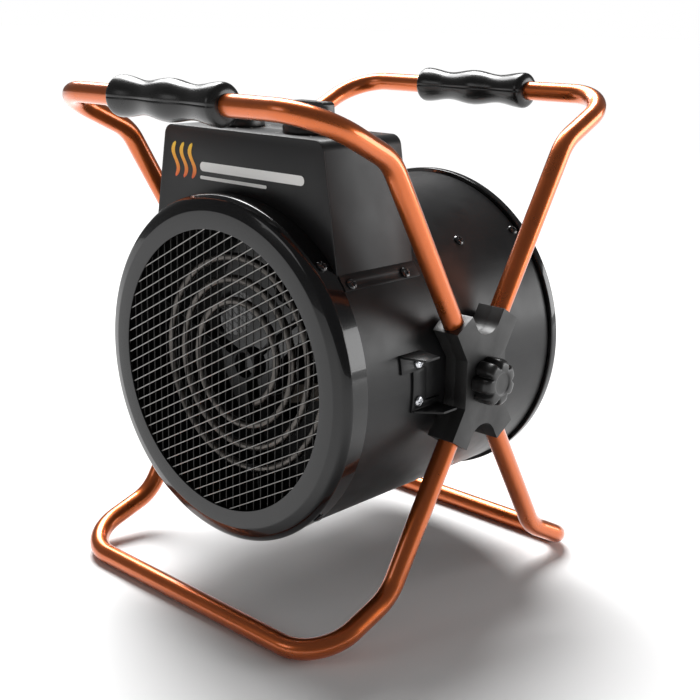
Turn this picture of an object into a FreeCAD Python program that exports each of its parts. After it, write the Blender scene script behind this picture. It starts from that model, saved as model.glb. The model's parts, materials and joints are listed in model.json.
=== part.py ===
import FreeCAD, Part
import math
import os

import Sketcher
from FreeCAD import Placement, Rotation, Vector

# A portable electric fan heater: a horizontal drum that tilts between two plastic hubs,
# carried by four bent tubes that are at once its legs and its carrying handles.
#
# Frame: +X to the right seen from the front, the air leaves towards -Y, +Z up. The origin is on
# the floor under the middle of the drum; the tilt axis runs along X at pivot_height.

SIZES = [
    # stand
    ("pivot_height", 186.6, "tilt axis above the floor"),
    ("tube_out", 9.6, "tube plane of each side outside the drum's side"),
    ("tube_radius", 8.0, "outside of the frame tube"),
    ("tube_wall", 1.2, "wall of the frame tube"),
    ("bend_radius", 38.0, "centre line radius of the tube bends"),
    ("rear_foot_bend", 20.0, "centre line radius of the two corners of the rear floor bar"),
    ("rear_foot_flare", 8.0, "how far each rear foot spreads outwards"),
    ("leg_angle", 31.4, "each tube from the vertical, seen from the side"),
    ("upper_run", 203.2, "tilt axis to the upper bend"),
    ("lower_run", 180.4, "tilt axis to the lower bend"),
    ("handle_reach", 70.0, "upper bend to handle bar, along Y"),
    ("handle_rise", 33.4, "upper bend to handle bar, along Z"),
    ("front_foot_reach", 74.5, "lower bend to front floor bar, along Y"),
    ("rear_foot_reach", 47.5, "lower bend to rear floor bar, along Y"),
    ("tube_start", 26.0, "inner end of each tube from the tilt axis"),
    # grips
    ("grip_half", 59.0, "half the length of a grip"),
    ("grip_wall", 7.3, "grip round the tube, at its ends and its middle"),
    ("grip_waist_wall", 4.2, "grip round the tube, at its two waists"),
    ("grip_gap", 0.1, "free gap between grip and tube"),
    # drum
    ("drum_radius", 134.4, "outside of the drum shell"),
    ("sheet", 0.9, "sheet steel of the drum and its rings"),
    ("drum_front", 116.0, "front edge of the shell ahead of the axis"),
    ("drum_rear", 116.5, "rear edge of the shell behind the axis"),
    ("bezel_overhang", 2.3, "front bezel beyond the drum shell"),
    ("bezel_front", 137.2, "front face of the bezel ahead of the axis"),
    ("bezel_rear", 128.6, "rear hem of the bezel ahead of the axis"),
    ("bezel_face", 26.2, "opening of the front bezel from its rim"),
    ("bezel_round", 12.2, "crease between the bezel's flat and its rounded side, from its rim"),
    ("collar_rear", 112.6, "rear edge of the collar ahead of the axis"),
    ("rear_overhang", 3.3, "rear ring beyond the drum shell"),
    ("rear_ring_back", 126.0, "back face of the rear ring behind the axis"),
    ("rear_face", 25.7, "opening of the rear ring from its rim"),
    # guards
    ("wire", 1.1, "wire of the front and rear guards"),
    ("wire_pitch", 7.9, "spacing of the guard wires"),
    ("wire_slant", 28.6, "slant of the second set of wires from level"),
    # heating
    ("element_radius", 3.25, "outside of the sheathed element"),
    ("element_outer", 84.5, "outermost left half turn of the element"),
    ("element_pitch", 17.4, "spacing of the element's turns"),
    ("element_rise", 6.6, "middle of the element above the drum's axis"),
    ("element_y", 112.0, "plane of the element ahead of the axis"),
    ("liner_gap", 14.4, "inner heat liner inside the drum shell"),
    ("liner_rear", 30.0, "rear edge of the liner ahead of the axis"),
    # fan
    ("fan_gap", 28.4, "tip of the fan blades inside the drum shell"),
    ("fan_hub_radius", 21.0, "hub of the fan"),
    ("blade_pitch", 27.0, "blade angle from the fan's plane"),
    ("shaft_radius", 4.0, "motor shaft"),
    ("motor_radius", 41.0, "motor case"),
    ("motor_length", 52.0, "motor case along Y"),
    ("mount_y", 30.0, "front face of the motor mount behind the axis"),
    # control box
    ("box_rise", 47.6, "top of the control box above the drum shell"),
    ("box_top_half", 86.5, "half width at the top"),
    ("box_front", 112.4, "front face ahead of the axis"),
    ("box_rear", 29.0, "rear face ahead of the axis"),
    ("box_corner", 9.0, "radius of its two top corners"),
    ("box_fold_angle", 40.2, "where the sides meet the drum, round it from level"),
    ("box_flange_angle", 35.4, "lower edge of the side flanges, round the drum from level"),
    ("box_sheet", 1.2, "sheet of the box"),
    # knobs on the box
    ("knob_spacing", 40.0, "each knob from the middle"),
    ("knob_y", 77.0, "knobs ahead of the axis"),
    ("knob_radius", 21.0, "skirt of a knob"),
    ("knob_height", 23.0, "knob above the box"),
    ("spindle_radius", 3.0, "spindle under a knob"),
    # hubs
    ("hub_inward", 13.0, "inner face of a hub from its tube plane"),
    ("hub_outward", 11.4, "outer face of a hub from its tube plane"),
    ("hub_arm_wall", 2.6, "hub's arm beside its tube"),
    ("hub_reach", 55.4, "end of a hub's arm from the tilt axis"),
    ("hub_waist", 24.0, "flat side of a hub from the tilt axis"),
    ("hub_notch_ratio", 3.4, "bottom of the upper and lower notch from the tilt axis, in half arms"),
    ("stud_radius", 4.0, "pivot stud"),
    ("star_radius", 18.6, "star knob"),
    ("star_length", 16.0, "star knob along the axis"),
    ("gap", 0.3, "free gap between faces that move past each other"),
]

doc = FreeCAD.newDocument("FanHeater")
sheet = doc.addObject("Spreadsheet::Sheet", "Sizes")


class Size:
    """A number together with the spreadsheet expression that gives it."""

    def __init__(self, value, text):
        self.value = float(value)
        self.text = text

    def joined(self, other, sign, value):
        return Size(value, "(%s %s %s)" % (self.text, sign, as_size(other).text))

    def __add__(self, other):
        return self.joined(other, "+", self.value + float(other))

    def __radd__(self, other):
        return as_size(other) + self

    def __sub__(self, other):
        return self.joined(other, "-", self.value - float(other))

    def __rsub__(self, other):
        return as_size(other) - self

    def __mul__(self, other):
        return self.joined(other, "*", self.value * float(other))

    def __rmul__(self, other):
        return as_size(other) * self

    def __truediv__(self, other):
        return self.joined(other, "/", self.value / float(other))

    def __neg__(self):
        return Size(-self.value, "(0 - %s)" % self.text)

    def __float__(self):
        return self.value


def as_size(number):
    """A Size as it is, or a plain number as a Size."""
    return number if isinstance(number, Size) else Size(number, repr(float(number)))


def cosine(angle):
    angle = as_size(angle)
    return Size(math.cos(math.radians(angle.value)), "cos(%s)" % angle.text)


def sine(angle):
    angle = as_size(angle)
    return Size(math.sin(math.radians(angle.value)), "sin(%s)" % angle.text)


def square_root(number):
    return Size(math.sqrt(number.value), "sqrt(%s)" % number.text)


class Named:
    """The driving dimensions, one attribute for each row of the sheet."""


size = Named()
for row, (word, number, meaning) in enumerate(SIZES, 1):
    sheet.set("A%d" % row, word)
    sheet.set("B%d" % row, str(number))
    sheet.set("C%d" % row, meaning)
    sheet.setAlias("B%d" % row, word)
    setattr(size, word, Size(number, "Sizes." + word))
doc.recompute()

# Sizes that follow from others.
bezel_radius = size.drum_radius + size.bezel_overhang
opening_radius = bezel_radius - size.bezel_face
crease_radius = bezel_radius - size.bezel_round
rear_ring_radius = size.drum_radius + size.rear_overhang
rear_opening = rear_ring_radius - size.rear_face
liner_radius = size.drum_radius - size.liner_gap
fan_radius = size.drum_radius - size.fan_gap
track_half = size.drum_radius + size.tube_out
hub_inner = track_half - size.hub_inward
hub_outer = track_half + size.hub_outward
hub_arm_half = size.tube_radius + size.hub_arm_wall
hub_notch = hub_arm_half * size.hub_notch_ratio
grip_radius = size.tube_radius + size.grip_wall
grip_waist = size.tube_radius + size.grip_waist_wall
grip_bore = size.tube_radius + size.grip_gap
box_top = size.drum_radius + size.box_rise

# How a piece's own axes lie in the heater.
AS_DRAWN = Rotation()
SEEN_FROM_FRONT = Rotation(Vector(1, 0, 0), 90)      # x to X, y to Z, depth towards -Y
SEEN_FROM_SIDE = Rotation(Vector(1, 1, 1), 120)      # x to Y, y to Z, depth towards +X
AXIS_ALONG_X = Rotation(Vector(0, 0, 1), -90)        # a turned piece's axis along X
AXIS_ALONG_Z = Rotation(Vector(1, 0, 0), 90)         # a turned piece's axis along Z
ROD_ALONG_X = Rotation(Vector(0, 1, 0), 90)          # a cylinder's height along X
ROD_ALONG_Y = Rotation(Vector(1, 0, 0), -90)         # a cylinder's height along +Y

AXLE = size.pivot_height
pieces = []


def keep(thing, label):
    """Name a finished piece and list it for export."""
    thing.Label = label
    pieces.append(thing)
    return thing


def place(thing, x, y, z, turn=AS_DRAWN):
    """Put a piece at x, y, z and tie its place to the sheet."""
    at = [as_size(value) for value in (x, y, z)]
    thing.Placement = Placement(Vector(*[float(value) for value in at]), turn)
    for letter, value in zip("xyz", at):
        thing.setExpression(".Placement.Base." + letter, value.text)
    return thing


def bind(thing, **sizes):
    for name, value in sizes.items():
        value = as_size(value)
        setattr(thing, name, float(value))
        thing.setExpression(name, value.text)
    return thing


def own_plane(body, role="XY_Plane"):
    return [plane for plane in body.Origin.OriginFeatures if plane.Role == role][0]


def draw(body, name, loops):
    """A sketch on the body's XY plane. A loop is corner points, or ("circle", x, y, radius)."""
    sketch = body.newObject("Sketcher::SketchObject", name)
    sketch.AttachmentSupport = [(own_plane(body), "")]
    sketch.MapMode = "FlatFace"

    def pin(edge, end, point):
        for kind, value in zip(("DistanceX", "DistanceY"), point):
            value = as_size(value)
            number = sketch.addConstraint(Sketcher.Constraint(kind, edge, end, float(value)))
            sketch.setExpression("Constraints[%d]" % number, value.text)

    for loop in loops:
        first = sketch.GeometryCount
        if loop[0] == "circle":
            centre = Vector(float(loop[1]), float(loop[2]), 0)
            sketch.addGeometry(Part.Circle(centre, Vector(0, 0, 1), float(loop[3])))
            pin(first, 3, loop[1:3])
            value = as_size(loop[3])
            number = sketch.addConstraint(Sketcher.Constraint("Radius", first, float(value)))
            sketch.setExpression("Constraints[%d]" % number, value.text)
            continue
        corners = [Vector(float(x), float(y), 0) for x, y in loop]
        for start, end in zip(corners, corners[1:] + corners[:1]):
            sketch.addGeometry(Part.LineSegment(start, end))
        for index, point in enumerate(loop):
            following = first + (index + 1) % len(loop)
            sketch.addConstraint(Sketcher.Constraint("Coincident", first + index, 2, following, 1))
            pin(first + index, 1, point)
    return sketch


def turned(name, profile, x=0, y=0, z=0, turn=AS_DRAWN):
    """A body of revolution: profile points are (radius, distance along the axis)."""
    body = doc.addObject("PartDesign::Body", name)
    sketch = draw(body, name + "_profile", [profile])
    revolution = body.newObject("PartDesign::Revolution", name + "_turned")
    revolution.Profile = sketch
    revolution.ReferenceAxis = (sketch, ["V_Axis"])
    revolution.Angle = 360
    return place(body, x, y, z, turn)


def padded(name, loops, depth, x=0, y=0, z=0, turn=AS_DRAWN):
    """A flat piece: the loops drawn on the XY plane and made depth thick."""
    body = doc.addObject("PartDesign::Body", name)
    sketch = draw(body, name + "_outline", loops)
    pad = body.newObject("PartDesign::Pad", name + "_pad")
    pad.Profile = sketch
    bind(pad, Length=depth)
    return place(body, x, y, z, turn)


def rounded(body, name, radius, chosen):
    """Fillet the edges whose middle point satisfies the test, in the body's own axes."""
    doc.recompute()
    base = body.Tip
    edges = []
    for number, edge in enumerate(base.Shape.Edges, 1):
        middle = edge.valueAt((edge.FirstParameter + edge.LastParameter) / 2)
        if chosen(edge, middle):
            edges.append("Edge%d" % number)
    fillet = body.newObject("PartDesign::Fillet", name)
    fillet.Base = (base, edges)
    bind(fillet, Radius=radius)
    return body


def across(edge):
    """Whether an edge runs through the thickness of a padded piece."""
    return edge.Curve.TypeId == "Part::GeomLine" and abs(edge.Curve.Direction.z) > 0.99


def rod(name, radius, length, x, y, z, turn):
    cylinder = doc.addObject("Part::Cylinder", name)
    bind(cylinder, Radius=radius, Height=length)
    return place(cylinder, x, y, z, turn)


def cut(name, base, *tools):
    """The base less the tools, as a Part::Cut of a fused tool."""
    result = doc.addObject("Part::Cut", name)
    result.Base = base
    result.Tool = fuse(name + "_tools", *tools) if len(tools) > 1 else tools[0]
    return result


def fuse(name, *things):
    result = doc.addObject("Part::MultiFuse", name)
    result.Shapes = list(things)
    return result


def made(name, shape):
    """A piece whose shape is computed here from the sheet's sizes."""
    thing = doc.addObject("Part::Feature", name)
    thing.Shape = shape
    thing.Placement = Placement()
    return thing


def mirrored(name, source):
    """The same piece on the other side of the heater."""
    thing = doc.addObject("Part::Mirroring", name)
    thing.Source = source
    thing.Base = Vector(0, 0, 0)
    thing.Normal = Vector(1, 0, 0)
    return thing


def both_sides(piece, label):
    keep(piece, label + "_right")
    keep(mirrored(label + "_mirror", piece), label + "_left")


def round_path(points, radii):
    """Straight runs joined by tangent arcs, one radius for each corner, as a wire."""
    edges = []
    start = points[0]
    for before, corner, after, radius in zip(points, points[1:], points[2:], radii):
        into = (corner - before).normalize()
        out = (after - corner).normalize()
        turn = into.getAngle(out)
        setback = radius * math.tan(turn / 2)
        first = corner - into * setback
        last = corner + out * setback
        inward = (out - into).normalize()
        middle = corner + inward * (radius / math.cos(turn / 2) - radius)
        edges.append(Part.LineSegment(start, first).toShape())
        edges.append(Part.Arc(first, middle, last).toShape())
        start = last
    edges.append(Part.LineSegment(start, points[-1]).toShape())
    return Part.Wire(edges)


def swept(path, radius):
    """A round rod along an open wire, whichever way its edges run."""
    first = path.OrderedEdges[0]
    start = path.OrderedVertexes[0].Point
    direction = first.Curve.tangent(first.Curve.parameter(start))[0]
    circle = Part.makeCircle(radius, start, direction)
    return path.makePipeShell([Part.Wire(circle)], True, True)


# ---------------------------------------------------------------- stand tubes

def stand_tube(name, sideways, upwards, run, reach, rise, flare=0, corner=size.bend_radius):
    """One bent tube from hub to hub, over a handle bar or a floor bar."""
    lean = math.radians(float(size.leg_angle))
    slope = Vector(0, sideways * math.sin(lean), upwards * math.cos(lean))
    axle = Vector(0, 0, float(AXLE))
    half = Vector(float(track_half), 0, 0)
    bar_half = half + Vector(float(flare), 0, 0)
    start = axle + slope * float(size.tube_start)
    bend = axle + slope * float(run)
    bar = bend + Vector(0, sideways * float(reach), upwards * float(rise))
    points = [start + half, bend + half, bar + bar_half, bar - bar_half, bend - half, start - half]
    bends = [float(size.bend_radius), float(corner)]
    path = round_path(points, bends + bends[::-1])
    outside = swept(path, float(size.tube_radius))
    inside = swept(path, float(size.tube_radius) - float(size.tube_wall))
    keep(made(name + "_tube", outside.cut(inside)), name + "_tube")


foot_rise = AXLE - size.lower_run * cosine(size.leg_angle) - size.tube_radius
stand_tube("front_handle", -1, 1, size.upper_run, size.handle_reach, size.handle_rise)
stand_tube("rear_handle", 1, 1, size.upper_run, size.handle_reach, size.handle_rise)
stand_tube("front_leg", -1, -1, size.lower_run, size.front_foot_reach, foot_rise)
stand_tube("rear_leg", 1, -1, size.lower_run, size.rear_foot_reach, foot_rise,
           size.rear_foot_flare, size.rear_foot_bend)

handle_y = size.upper_run * sine(size.leg_angle) + size.handle_reach
handle_z = AXLE + size.upper_run * cosine(size.leg_angle) + size.handle_rise

# ---------------------------------------------------------------- grips

GRIP_STATIONS = 25
GRIP_END_ROUND = 5.0
GRIP_SCREW_X = 38.0
GRIP_SCREW_RADIUS = 1.5
GRIP_SCREW_GAP = 0.5


def grip_radius_at(share):
    """Grip radius at a share of its half length: full at the ends and middle, waisted between."""
    full = float(grip_radius)
    waist = float(grip_waist)
    wave = 0.5 + 0.5 * math.cos(2 * math.pi * abs(share) / 0.92)
    return waist + (full - waist) * wave


def grip_solid():
    """The whole grip about the X axis at the origin: a smooth turned outline with rounded ends."""
    half = float(size.grip_half)
    straight = half - GRIP_END_ROUND
    outline = []
    for index in range(GRIP_STATIONS):
        x = -straight + 2 * straight * index / (GRIP_STATIONS - 1)
        outline.append(Vector(x, 0, grip_radius_at(x / half)))
    curve = Part.BSplineCurve()
    curve.interpolate(outline)
    end = outline[-1].z
    quarter = GRIP_END_ROUND * math.sqrt(0.5)
    right = Part.Arc(outline[-1],
                     Vector(straight + quarter, 0, end - GRIP_END_ROUND + quarter),
                     Vector(half, 0, end - GRIP_END_ROUND))
    left = Part.Arc(Vector(-half, 0, end - GRIP_END_ROUND),
                    Vector(-straight - quarter, 0, end - GRIP_END_ROUND + quarter),
                    outline[0])
    edges = [left.toShape(), curve.toShape(), right.toShape(),
             Part.LineSegment(Vector(half, 0, end - GRIP_END_ROUND), Vector(half, 0, 0)).toShape(),
             Part.LineSegment(Vector(half, 0, 0), Vector(-half, 0, 0)).toShape(),
             Part.LineSegment(Vector(-half, 0, 0), Vector(-half, 0, end - GRIP_END_ROUND)).toShape()]
    solid = Part.Face(Part.Wire(edges)).revolve(Vector(0, 0, 0), Vector(1, 0, 0), 360)
    bore = Part.makeCylinder(float(grip_bore), 4 * half, Vector(-2 * half, 0, 0), Vector(1, 0, 0))
    return solid.cut(bore)


def grip_halves(name, side):
    """Upper and lower shell of one grip, and the two screws that join them round the tube."""
    whole = grip_solid()
    reach = 2 * float(size.grip_half)
    block = Part.makeBox(2 * reach, reach, reach, Vector(-reach, -reach / 2, 0))
    lower_block = block.copy()
    lower_block.translate(Vector(0, 0, -reach))
    at = Placement(Vector(0, side * float(handle_y), float(handle_z)), AS_DRAWN)
    beside = side * (float(size.tube_radius) + GRIP_SCREW_RADIUS + GRIP_SCREW_GAP)
    screws = []
    for x in (-GRIP_SCREW_X, GRIP_SCREW_X):
        shank = Part.makeCylinder(GRIP_SCREW_RADIUS, 7.0, Vector(x, beside, -5.0), Vector(0, 0, 1))
        screws.append(shank)
    holes = Part.makeCompound(screws)
    for half, solid in (("upper", whole.common(block)), ("lower", whole.common(lower_block))):
        thing = made(name + "_grip_" + half, solid.cut(holes))
        keep(place(thing, 0, side * handle_y, handle_z), name + "_grip_" + half)
    return [screw.transformGeometry(at.toMatrix()) for screw in screws]


grip_screws = grip_halves("front", -1) + grip_halves("rear", 1)
keep(made("grip_screws", Part.makeCompound(grip_screws)), "grip_screws")

# ---------------------------------------------------------------- screws round the drum

HEAD_RADIUS = 4.4
HEAD_HEIGHT = 2.4
SHANK_RADIUS = 2.0
SHANK_LENGTH = 5.0
HOLE_RADIUS = 2.1


def drum_point(angle, y, radius):
    """A point on the drum at an angle round it from level, right-hand side first."""
    turn = math.radians(angle)
    return Vector(radius * math.cos(turn), y, float(AXLE) + radius * math.sin(turn))


def outward(angle):
    turn = math.radians(angle)
    return Vector(math.cos(turn), 0, math.sin(turn))


def radial_screw_set(places, seat):
    """Pan head screws seated at one radius of the drum, one solid each."""
    solids = []
    for angle, y in places:
        axis = outward(angle)
        head = Part.makeCylinder(HEAD_RADIUS, HEAD_HEIGHT, drum_point(angle, y, seat), axis)
        rim = [edge for edge in head.Edges if edge.Curve.TypeId == "Part::GeomCircle"
               and (edge.Curve.Center - drum_point(angle, y, seat)).Length > HEAD_HEIGHT / 2]
        head = head.makeFillet(HEAD_HEIGHT * 0.6, rim)
        shank = Part.makeCylinder(SHANK_RADIUS, SHANK_LENGTH + HEAD_HEIGHT / 2,
                                  drum_point(angle, y, seat - SHANK_LENGTH), axis)
        solids.append(head.fuse(shank))
    return Part.makeCompound(solids)


def radial_screws(label, places, seat):
    """A node of screws seated at one radius of the drum."""
    return keep(made(label, radial_screw_set(places, seat)), label)


def radial_holes(name, places, radius=HOLE_RADIUS):
    """Cylinders that cut a row of screw holes through every sheet at their places."""
    deep = 16.0
    solids = []
    for angle, y in places:
        start = drum_point(angle, y, float(size.drum_radius) - deep)
        solids.append(Part.makeCylinder(radius, 2 * deep, start, outward(angle)))
    return made(name, Part.makeCompound(solids))


CORNERS = (45.0, 135.0, 225.0, 315.0)
collar_places = [(angle, -121.0) for angle in CORNERS]
rear_places = [(angle, float(size.drum_rear) - 5.0) for angle in CORNERS]
mount_places = [(angle, float(size.mount_y) + 7.0) for angle in CORNERS]
flange_middle = (float(size.box_fold_angle) + float(size.box_flange_angle)) / 2 - 0.6
flange_rows = (-float(size.box_front) + 9.4, -float(size.box_rear) - 15.0)
flange_places = [(angle, y) for angle in (flange_middle, 180.0 - flange_middle) for y in flange_rows]

shell_outside = size.drum_radius
collar_outside = shell_outside + size.sheet + 0.05
radial_screws("collar_screws", collar_places, float(collar_outside) + 0.02)
radial_screws("rear_ring_screws", rear_places, float(shell_outside) + 0.02)
radial_screws("motor_mount_screws", mount_places, float(shell_outside) + 0.02)
radial_screws("control_box_screws", flange_places, float(shell_outside + size.box_sheet) + 0.1)

# ---------------------------------------------------------------- drum

STUD_HOLE_GAP = 0.4
WIRE_WAY_RADIUS = 12.0


def hoop(name, outer, inner, front, rear):
    """A plain cylindrical hoop round the drum's axis, front and rear as Y."""
    profile = [(inner, front), (outer, front), (outer, rear), (inner, rear)]
    return turned(name, profile, 0, 0, AXLE)


STOP_SCREW_SPOTS = ((-8.9, -56.5), (19.9, -56.7))
STOP_SCREWS = [(math.degrees(math.asin(height / float(shell_outside))), y) for height, y in STOP_SCREW_SPOTS]
stop_places = STOP_SCREWS + [(180.0 - angle, y) for angle, y in STOP_SCREWS]


keep(cut("drum_shell_cut",
         hoop("drum_shell_blank", shell_outside, shell_outside - size.sheet,
              -size.drum_front, size.drum_rear),
         radial_holes("shell_rear_holes", rear_places),
         radial_holes("shell_mount_holes", mount_places),
         radial_holes("shell_flange_holes", flange_places),
         radial_holes("shell_stop_holes", stop_places),
         rod("shell_stud_hole", size.stud_radius + STUD_HOLE_GAP, 4 * track_half,
             -2 * track_half, 0, AXLE, ROD_ALONG_X),
         rod("shell_wire_hole", WIRE_WAY_RADIUS, box_top, 0, -92, AXLE, AS_DRAWN)),
     "drum_shell")

skirt_outside = shell_outside - 0.05
bezel_profile = [
    (opening_radius, -size.bezel_front + 1.0),
    (opening_radius, -size.bezel_front + 0.5),
    (opening_radius + 0.5, -size.bezel_front),
    (crease_radius, -size.bezel_front),
    (crease_radius + 5.6, -size.bezel_front + 1.0),
    (bezel_radius - 2.6, -size.bezel_front + 2.8),
    (bezel_radius - 0.6, -size.bezel_front + 4.6),
    (bezel_radius, -size.bezel_front + 6.4),
    (bezel_radius, -size.bezel_rear),
    (skirt_outside, -size.bezel_rear),
    (skirt_outside, -size.drum_front - 0.4),
    (skirt_outside - size.sheet, -size.drum_front - 0.4),
    (skirt_outside - size.sheet, -size.bezel_rear - size.sheet),
    (bezel_radius - 1.2, -size.bezel_rear - size.sheet),
    (bezel_radius - 1.2, -size.bezel_front + 6.6),
    (bezel_radius - 3.6, -size.bezel_front + 3.9),
    (crease_radius + 5.2, -size.bezel_front + 2.1),
    (crease_radius - 0.2, -size.bezel_front + 1.0),
]
keep(cut("front_bezel_cut", turned("front_bezel_blank", bezel_profile, 0, 0, AXLE),
         radial_holes("bezel_holes", collar_places)), "front_bezel")

keep(cut("front_collar_cut",
         hoop("front_collar_blank", collar_outside, shell_outside + 0.05,
              -size.bezel_rear + 0.05, -size.collar_rear),
         radial_holes("collar_holes", collar_places)), "front_collar")

rear_skirt = shell_outside - size.sheet - 0.1
rear_lip = size.drum_rear + 1.2
rear_profile = [
    (rear_skirt, size.drum_rear - 14),
    (rear_skirt, rear_lip),
    (rear_ring_radius - 1.2, rear_lip),
    (rear_ring_radius, rear_lip + 1.2),
    (rear_ring_radius, size.rear_ring_back - 2),
    (rear_ring_radius - 2, size.rear_ring_back),
    (rear_opening, size.rear_ring_back),
    (rear_opening, size.rear_ring_back - size.sheet),
    (rear_ring_radius - 2.4, size.rear_ring_back - size.sheet),
    (rear_ring_radius - size.sheet, size.rear_ring_back - 2.4),
    (rear_ring_radius - size.sheet, rear_lip + size.sheet + 0.6),
    (rear_ring_radius - 1.6, rear_lip + size.sheet),
    (rear_skirt - size.sheet, rear_lip + size.sheet),
    (rear_skirt - size.sheet, size.drum_rear - 14),
]
keep(cut("rear_ring_cut", turned("rear_ring_blank", rear_profile, 0, 0, AXLE),
         radial_holes("rear_ring_holes", rear_places)), "rear_ring")

# Inner heat liner with a flange that reaches the bezel's skirt.
liner_front = -size.bezel_rear + 1.2
liner_profile = [
    (liner_radius - 0.8, liner_front),
    (skirt_outside - size.sheet - 0.1, liner_front),
    (skirt_outside - size.sheet - 0.1, liner_front + 0.8),
    (liner_radius, liner_front + 0.8),
    (liner_radius, -size.liner_rear),
    (liner_radius - 0.8, -size.liner_rear),
]
keep(cut("inner_liner_cut", turned("inner_liner_blank", liner_profile, 0, 0, AXLE),
         rod("liner_wire_hole", WIRE_WAY_RADIUS, box_top, 0, -92, AXLE, AS_DRAWN)), "inner_liner")

# ---------------------------------------------------------------- wire guards

WIRE_OVERLAP = 4.6
RIM_INSIDE = 2.4
RIM_OUTSIDE = 7.6


def wire_guard(name, opening, face, inward, angles):
    """Two layers of straight wires across an opening, welded to a flat rim ring behind them."""
    wire = float(size.wire)
    pitch = float(size.wire_pitch)
    along = Vector(0, 1, 0)
    axle = Vector(0, 0, float(AXLE))
    reach = opening + WIRE_OVERLAP
    solids = []
    count = int(opening / pitch)
    for layer, angle in enumerate(angles):
        y = face + inward * (layer + 0.5) * wire
        for index in range(-count, count + 1):
            offset = index * pitch
            half = math.sqrt(reach * reach - offset * offset)
            bar = Part.makeCylinder(wire / 2, 2 * half, Vector(-half, 0, offset), Vector(1, 0, 0))
            bar.rotate(Vector(0, 0, 0), along, -angle)
            bar.translate(axle + along * y)
            solids.append(bar)
    rim = axle + along * (face + 2 * inward * wire)
    ring = Part.makeCylinder(opening + RIM_OUTSIDE, wire, rim, along * inward)
    hole = Part.makeCylinder(opening + RIM_INSIDE, wire, rim, along * inward)
    solids.append(ring.cut(hole))
    return keep(made(name, Part.makeCompound(solids)), name)


slant = float(size.wire_slant)
front_face = -float(size.bezel_front) + 1.02
rear_face = float(size.rear_ring_back - size.sheet) - 0.02
wire_guard("front_guard", float(opening_radius), front_face, 1, (slant, 90.0))
wire_guard("rear_guard", float(rear_opening), rear_face, -1, (slant, 90.0))

# ---------------------------------------------------------------- heating element

LEG_BEND = 12.0
LEG_END = 55.0
INNER_START = -58.0
OUTER_END = -18.0
TURNS = 3

element_plane = -float(size.element_y)
left_centre = float(AXLE + size.element_rise - size.element_pitch / 4)
right_centre = float(AXLE + size.element_rise + size.element_pitch / 4)


def left_radius(turn):
    return float(size.element_outer - size.element_pitch * (TURNS - 1 - turn))


def right_radius(turn):
    return left_radius(turn) - float(size.element_pitch) / 2


def on_right(turn, angle):
    """A point of a right-hand half turn, by its angle round that half turn's centre."""
    way = math.radians(angle)
    radius = right_radius(turn)
    return Vector(radius * math.cos(way), element_plane, right_centre + radius * math.sin(way))


def element_leg(point, direction):
    """Quarter bend out of the spiral and a straight leg running back, from the spiral outwards."""
    back = Vector(0, 1, 0)
    corner = point + direction * LEG_BEND
    swing = (direction - back) * (LEG_BEND * math.sqrt(0.5))
    knee = corner + back * LEG_BEND
    bent = Part.Arc(point, point + back * LEG_BEND + swing, knee)
    tail = Part.LineSegment(knee, Vector(corner.x, -LEG_END, corner.z))
    return [bent.toShape(), tail.toShape()]


def heading(angle):
    """Direction of travel outwards along a right-hand half turn."""
    way = math.radians(angle)
    return Vector(-math.sin(way), 0, math.cos(way))


def element_path():
    """Half turns about two centres, growing outwards, and a leg at each end."""
    edges = element_leg(on_right(0, INNER_START), heading(INNER_START) * -1)
    for turn in range(TURNS + 1):
        start = INNER_START if turn == 0 else -90.0
        end = OUTER_END if turn == TURNS else 90.0
        arc = Part.Arc(on_right(turn, start), on_right(turn, (start + end) / 2), on_right(turn, end))
        edges.append(arc.toShape())
        if turn < TURNS:
            radius = left_radius(turn)
            top = Vector(0, element_plane, left_centre + radius)
            bottom = Vector(0, element_plane, left_centre - radius)
            edges.append(Part.Arc(top, Vector(-radius, element_plane, left_centre), bottom).toShape())
    edges += element_leg(on_right(TURNS, OUTER_END), heading(OUTER_END))
    return Part.Wire(Part.__sortEdges__(edges))


keep(made("heating_element", swept(element_path(), float(size.element_radius))), "heating_element")
inner_leg = on_right(0, INNER_START) - heading(INNER_START) * LEG_BEND
outer_leg = on_right(TURNS, OUTER_END) + heading(OUTER_END) * LEG_BEND

# Three blades on edge behind the spiral, from a small hub out to the liner.
ARM_ANGLES = (-80.0, 40.0, 160.0)
ARM_THICK = 1.2
ARM_DEPTH = 12.0
CARRIER_HUB = 13.0
carrier_front = element_plane + float(size.element_radius) + 0.05


def element_carrier():
    along = Vector(0, 1, 0)
    axle = Vector(0, carrier_front, float(AXLE))
    shape = Part.makeCylinder(CARRIER_HUB, ARM_DEPTH, axle, along)
    reach = float(liner_radius) - 1.0
    for angle in ARM_ANGLES:
        arm = Part.makeBox(reach, ARM_DEPTH, ARM_THICK, Vector(0, 0, -ARM_THICK / 2))
        arm.rotate(Vector(0, 0, 0), along, -angle)
        arm.translate(axle)
        shape = shape.fuse(arm)
    return shape.cut(Part.makeCylinder(CARRIER_HUB - 2.5, ARM_DEPTH, axle, along))


keep(made("element_carrier", element_carrier()), "element_carrier")

# Clamp over the outermost turn where it crosses the lowest blade.
CLAMP_RADIUS = 4.6
CLAMP_LENGTH = 6.0


def element_clamp():
    blade = math.radians(ARM_ANGLES[0])
    toward = Vector(math.cos(blade), 0, math.sin(blade))
    offset = right_centre - float(AXLE)
    radius = right_radius(TURNS)
    distance = offset * toward.z + math.sqrt(radius * radius - (offset * toward.x) ** 2)
    at = Vector(0, element_plane, float(AXLE)) + toward * distance
    angle = math.degrees(math.atan2(at.z - right_centre, at.x))
    start = at - heading(angle) * (CLAMP_LENGTH / 2)
    band = Part.makeCylinder(CLAMP_RADIUS, CLAMP_LENGTH, start, heading(angle))
    bore = Part.makeCylinder(float(size.element_radius) + 0.1, CLAMP_LENGTH, start, heading(angle))
    behind = Part.makeBox(40, 20, 40, Vector(at.x - 20, carrier_front - 0.02, at.z - 20))
    return band.cut(bore).cut(behind)


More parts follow.
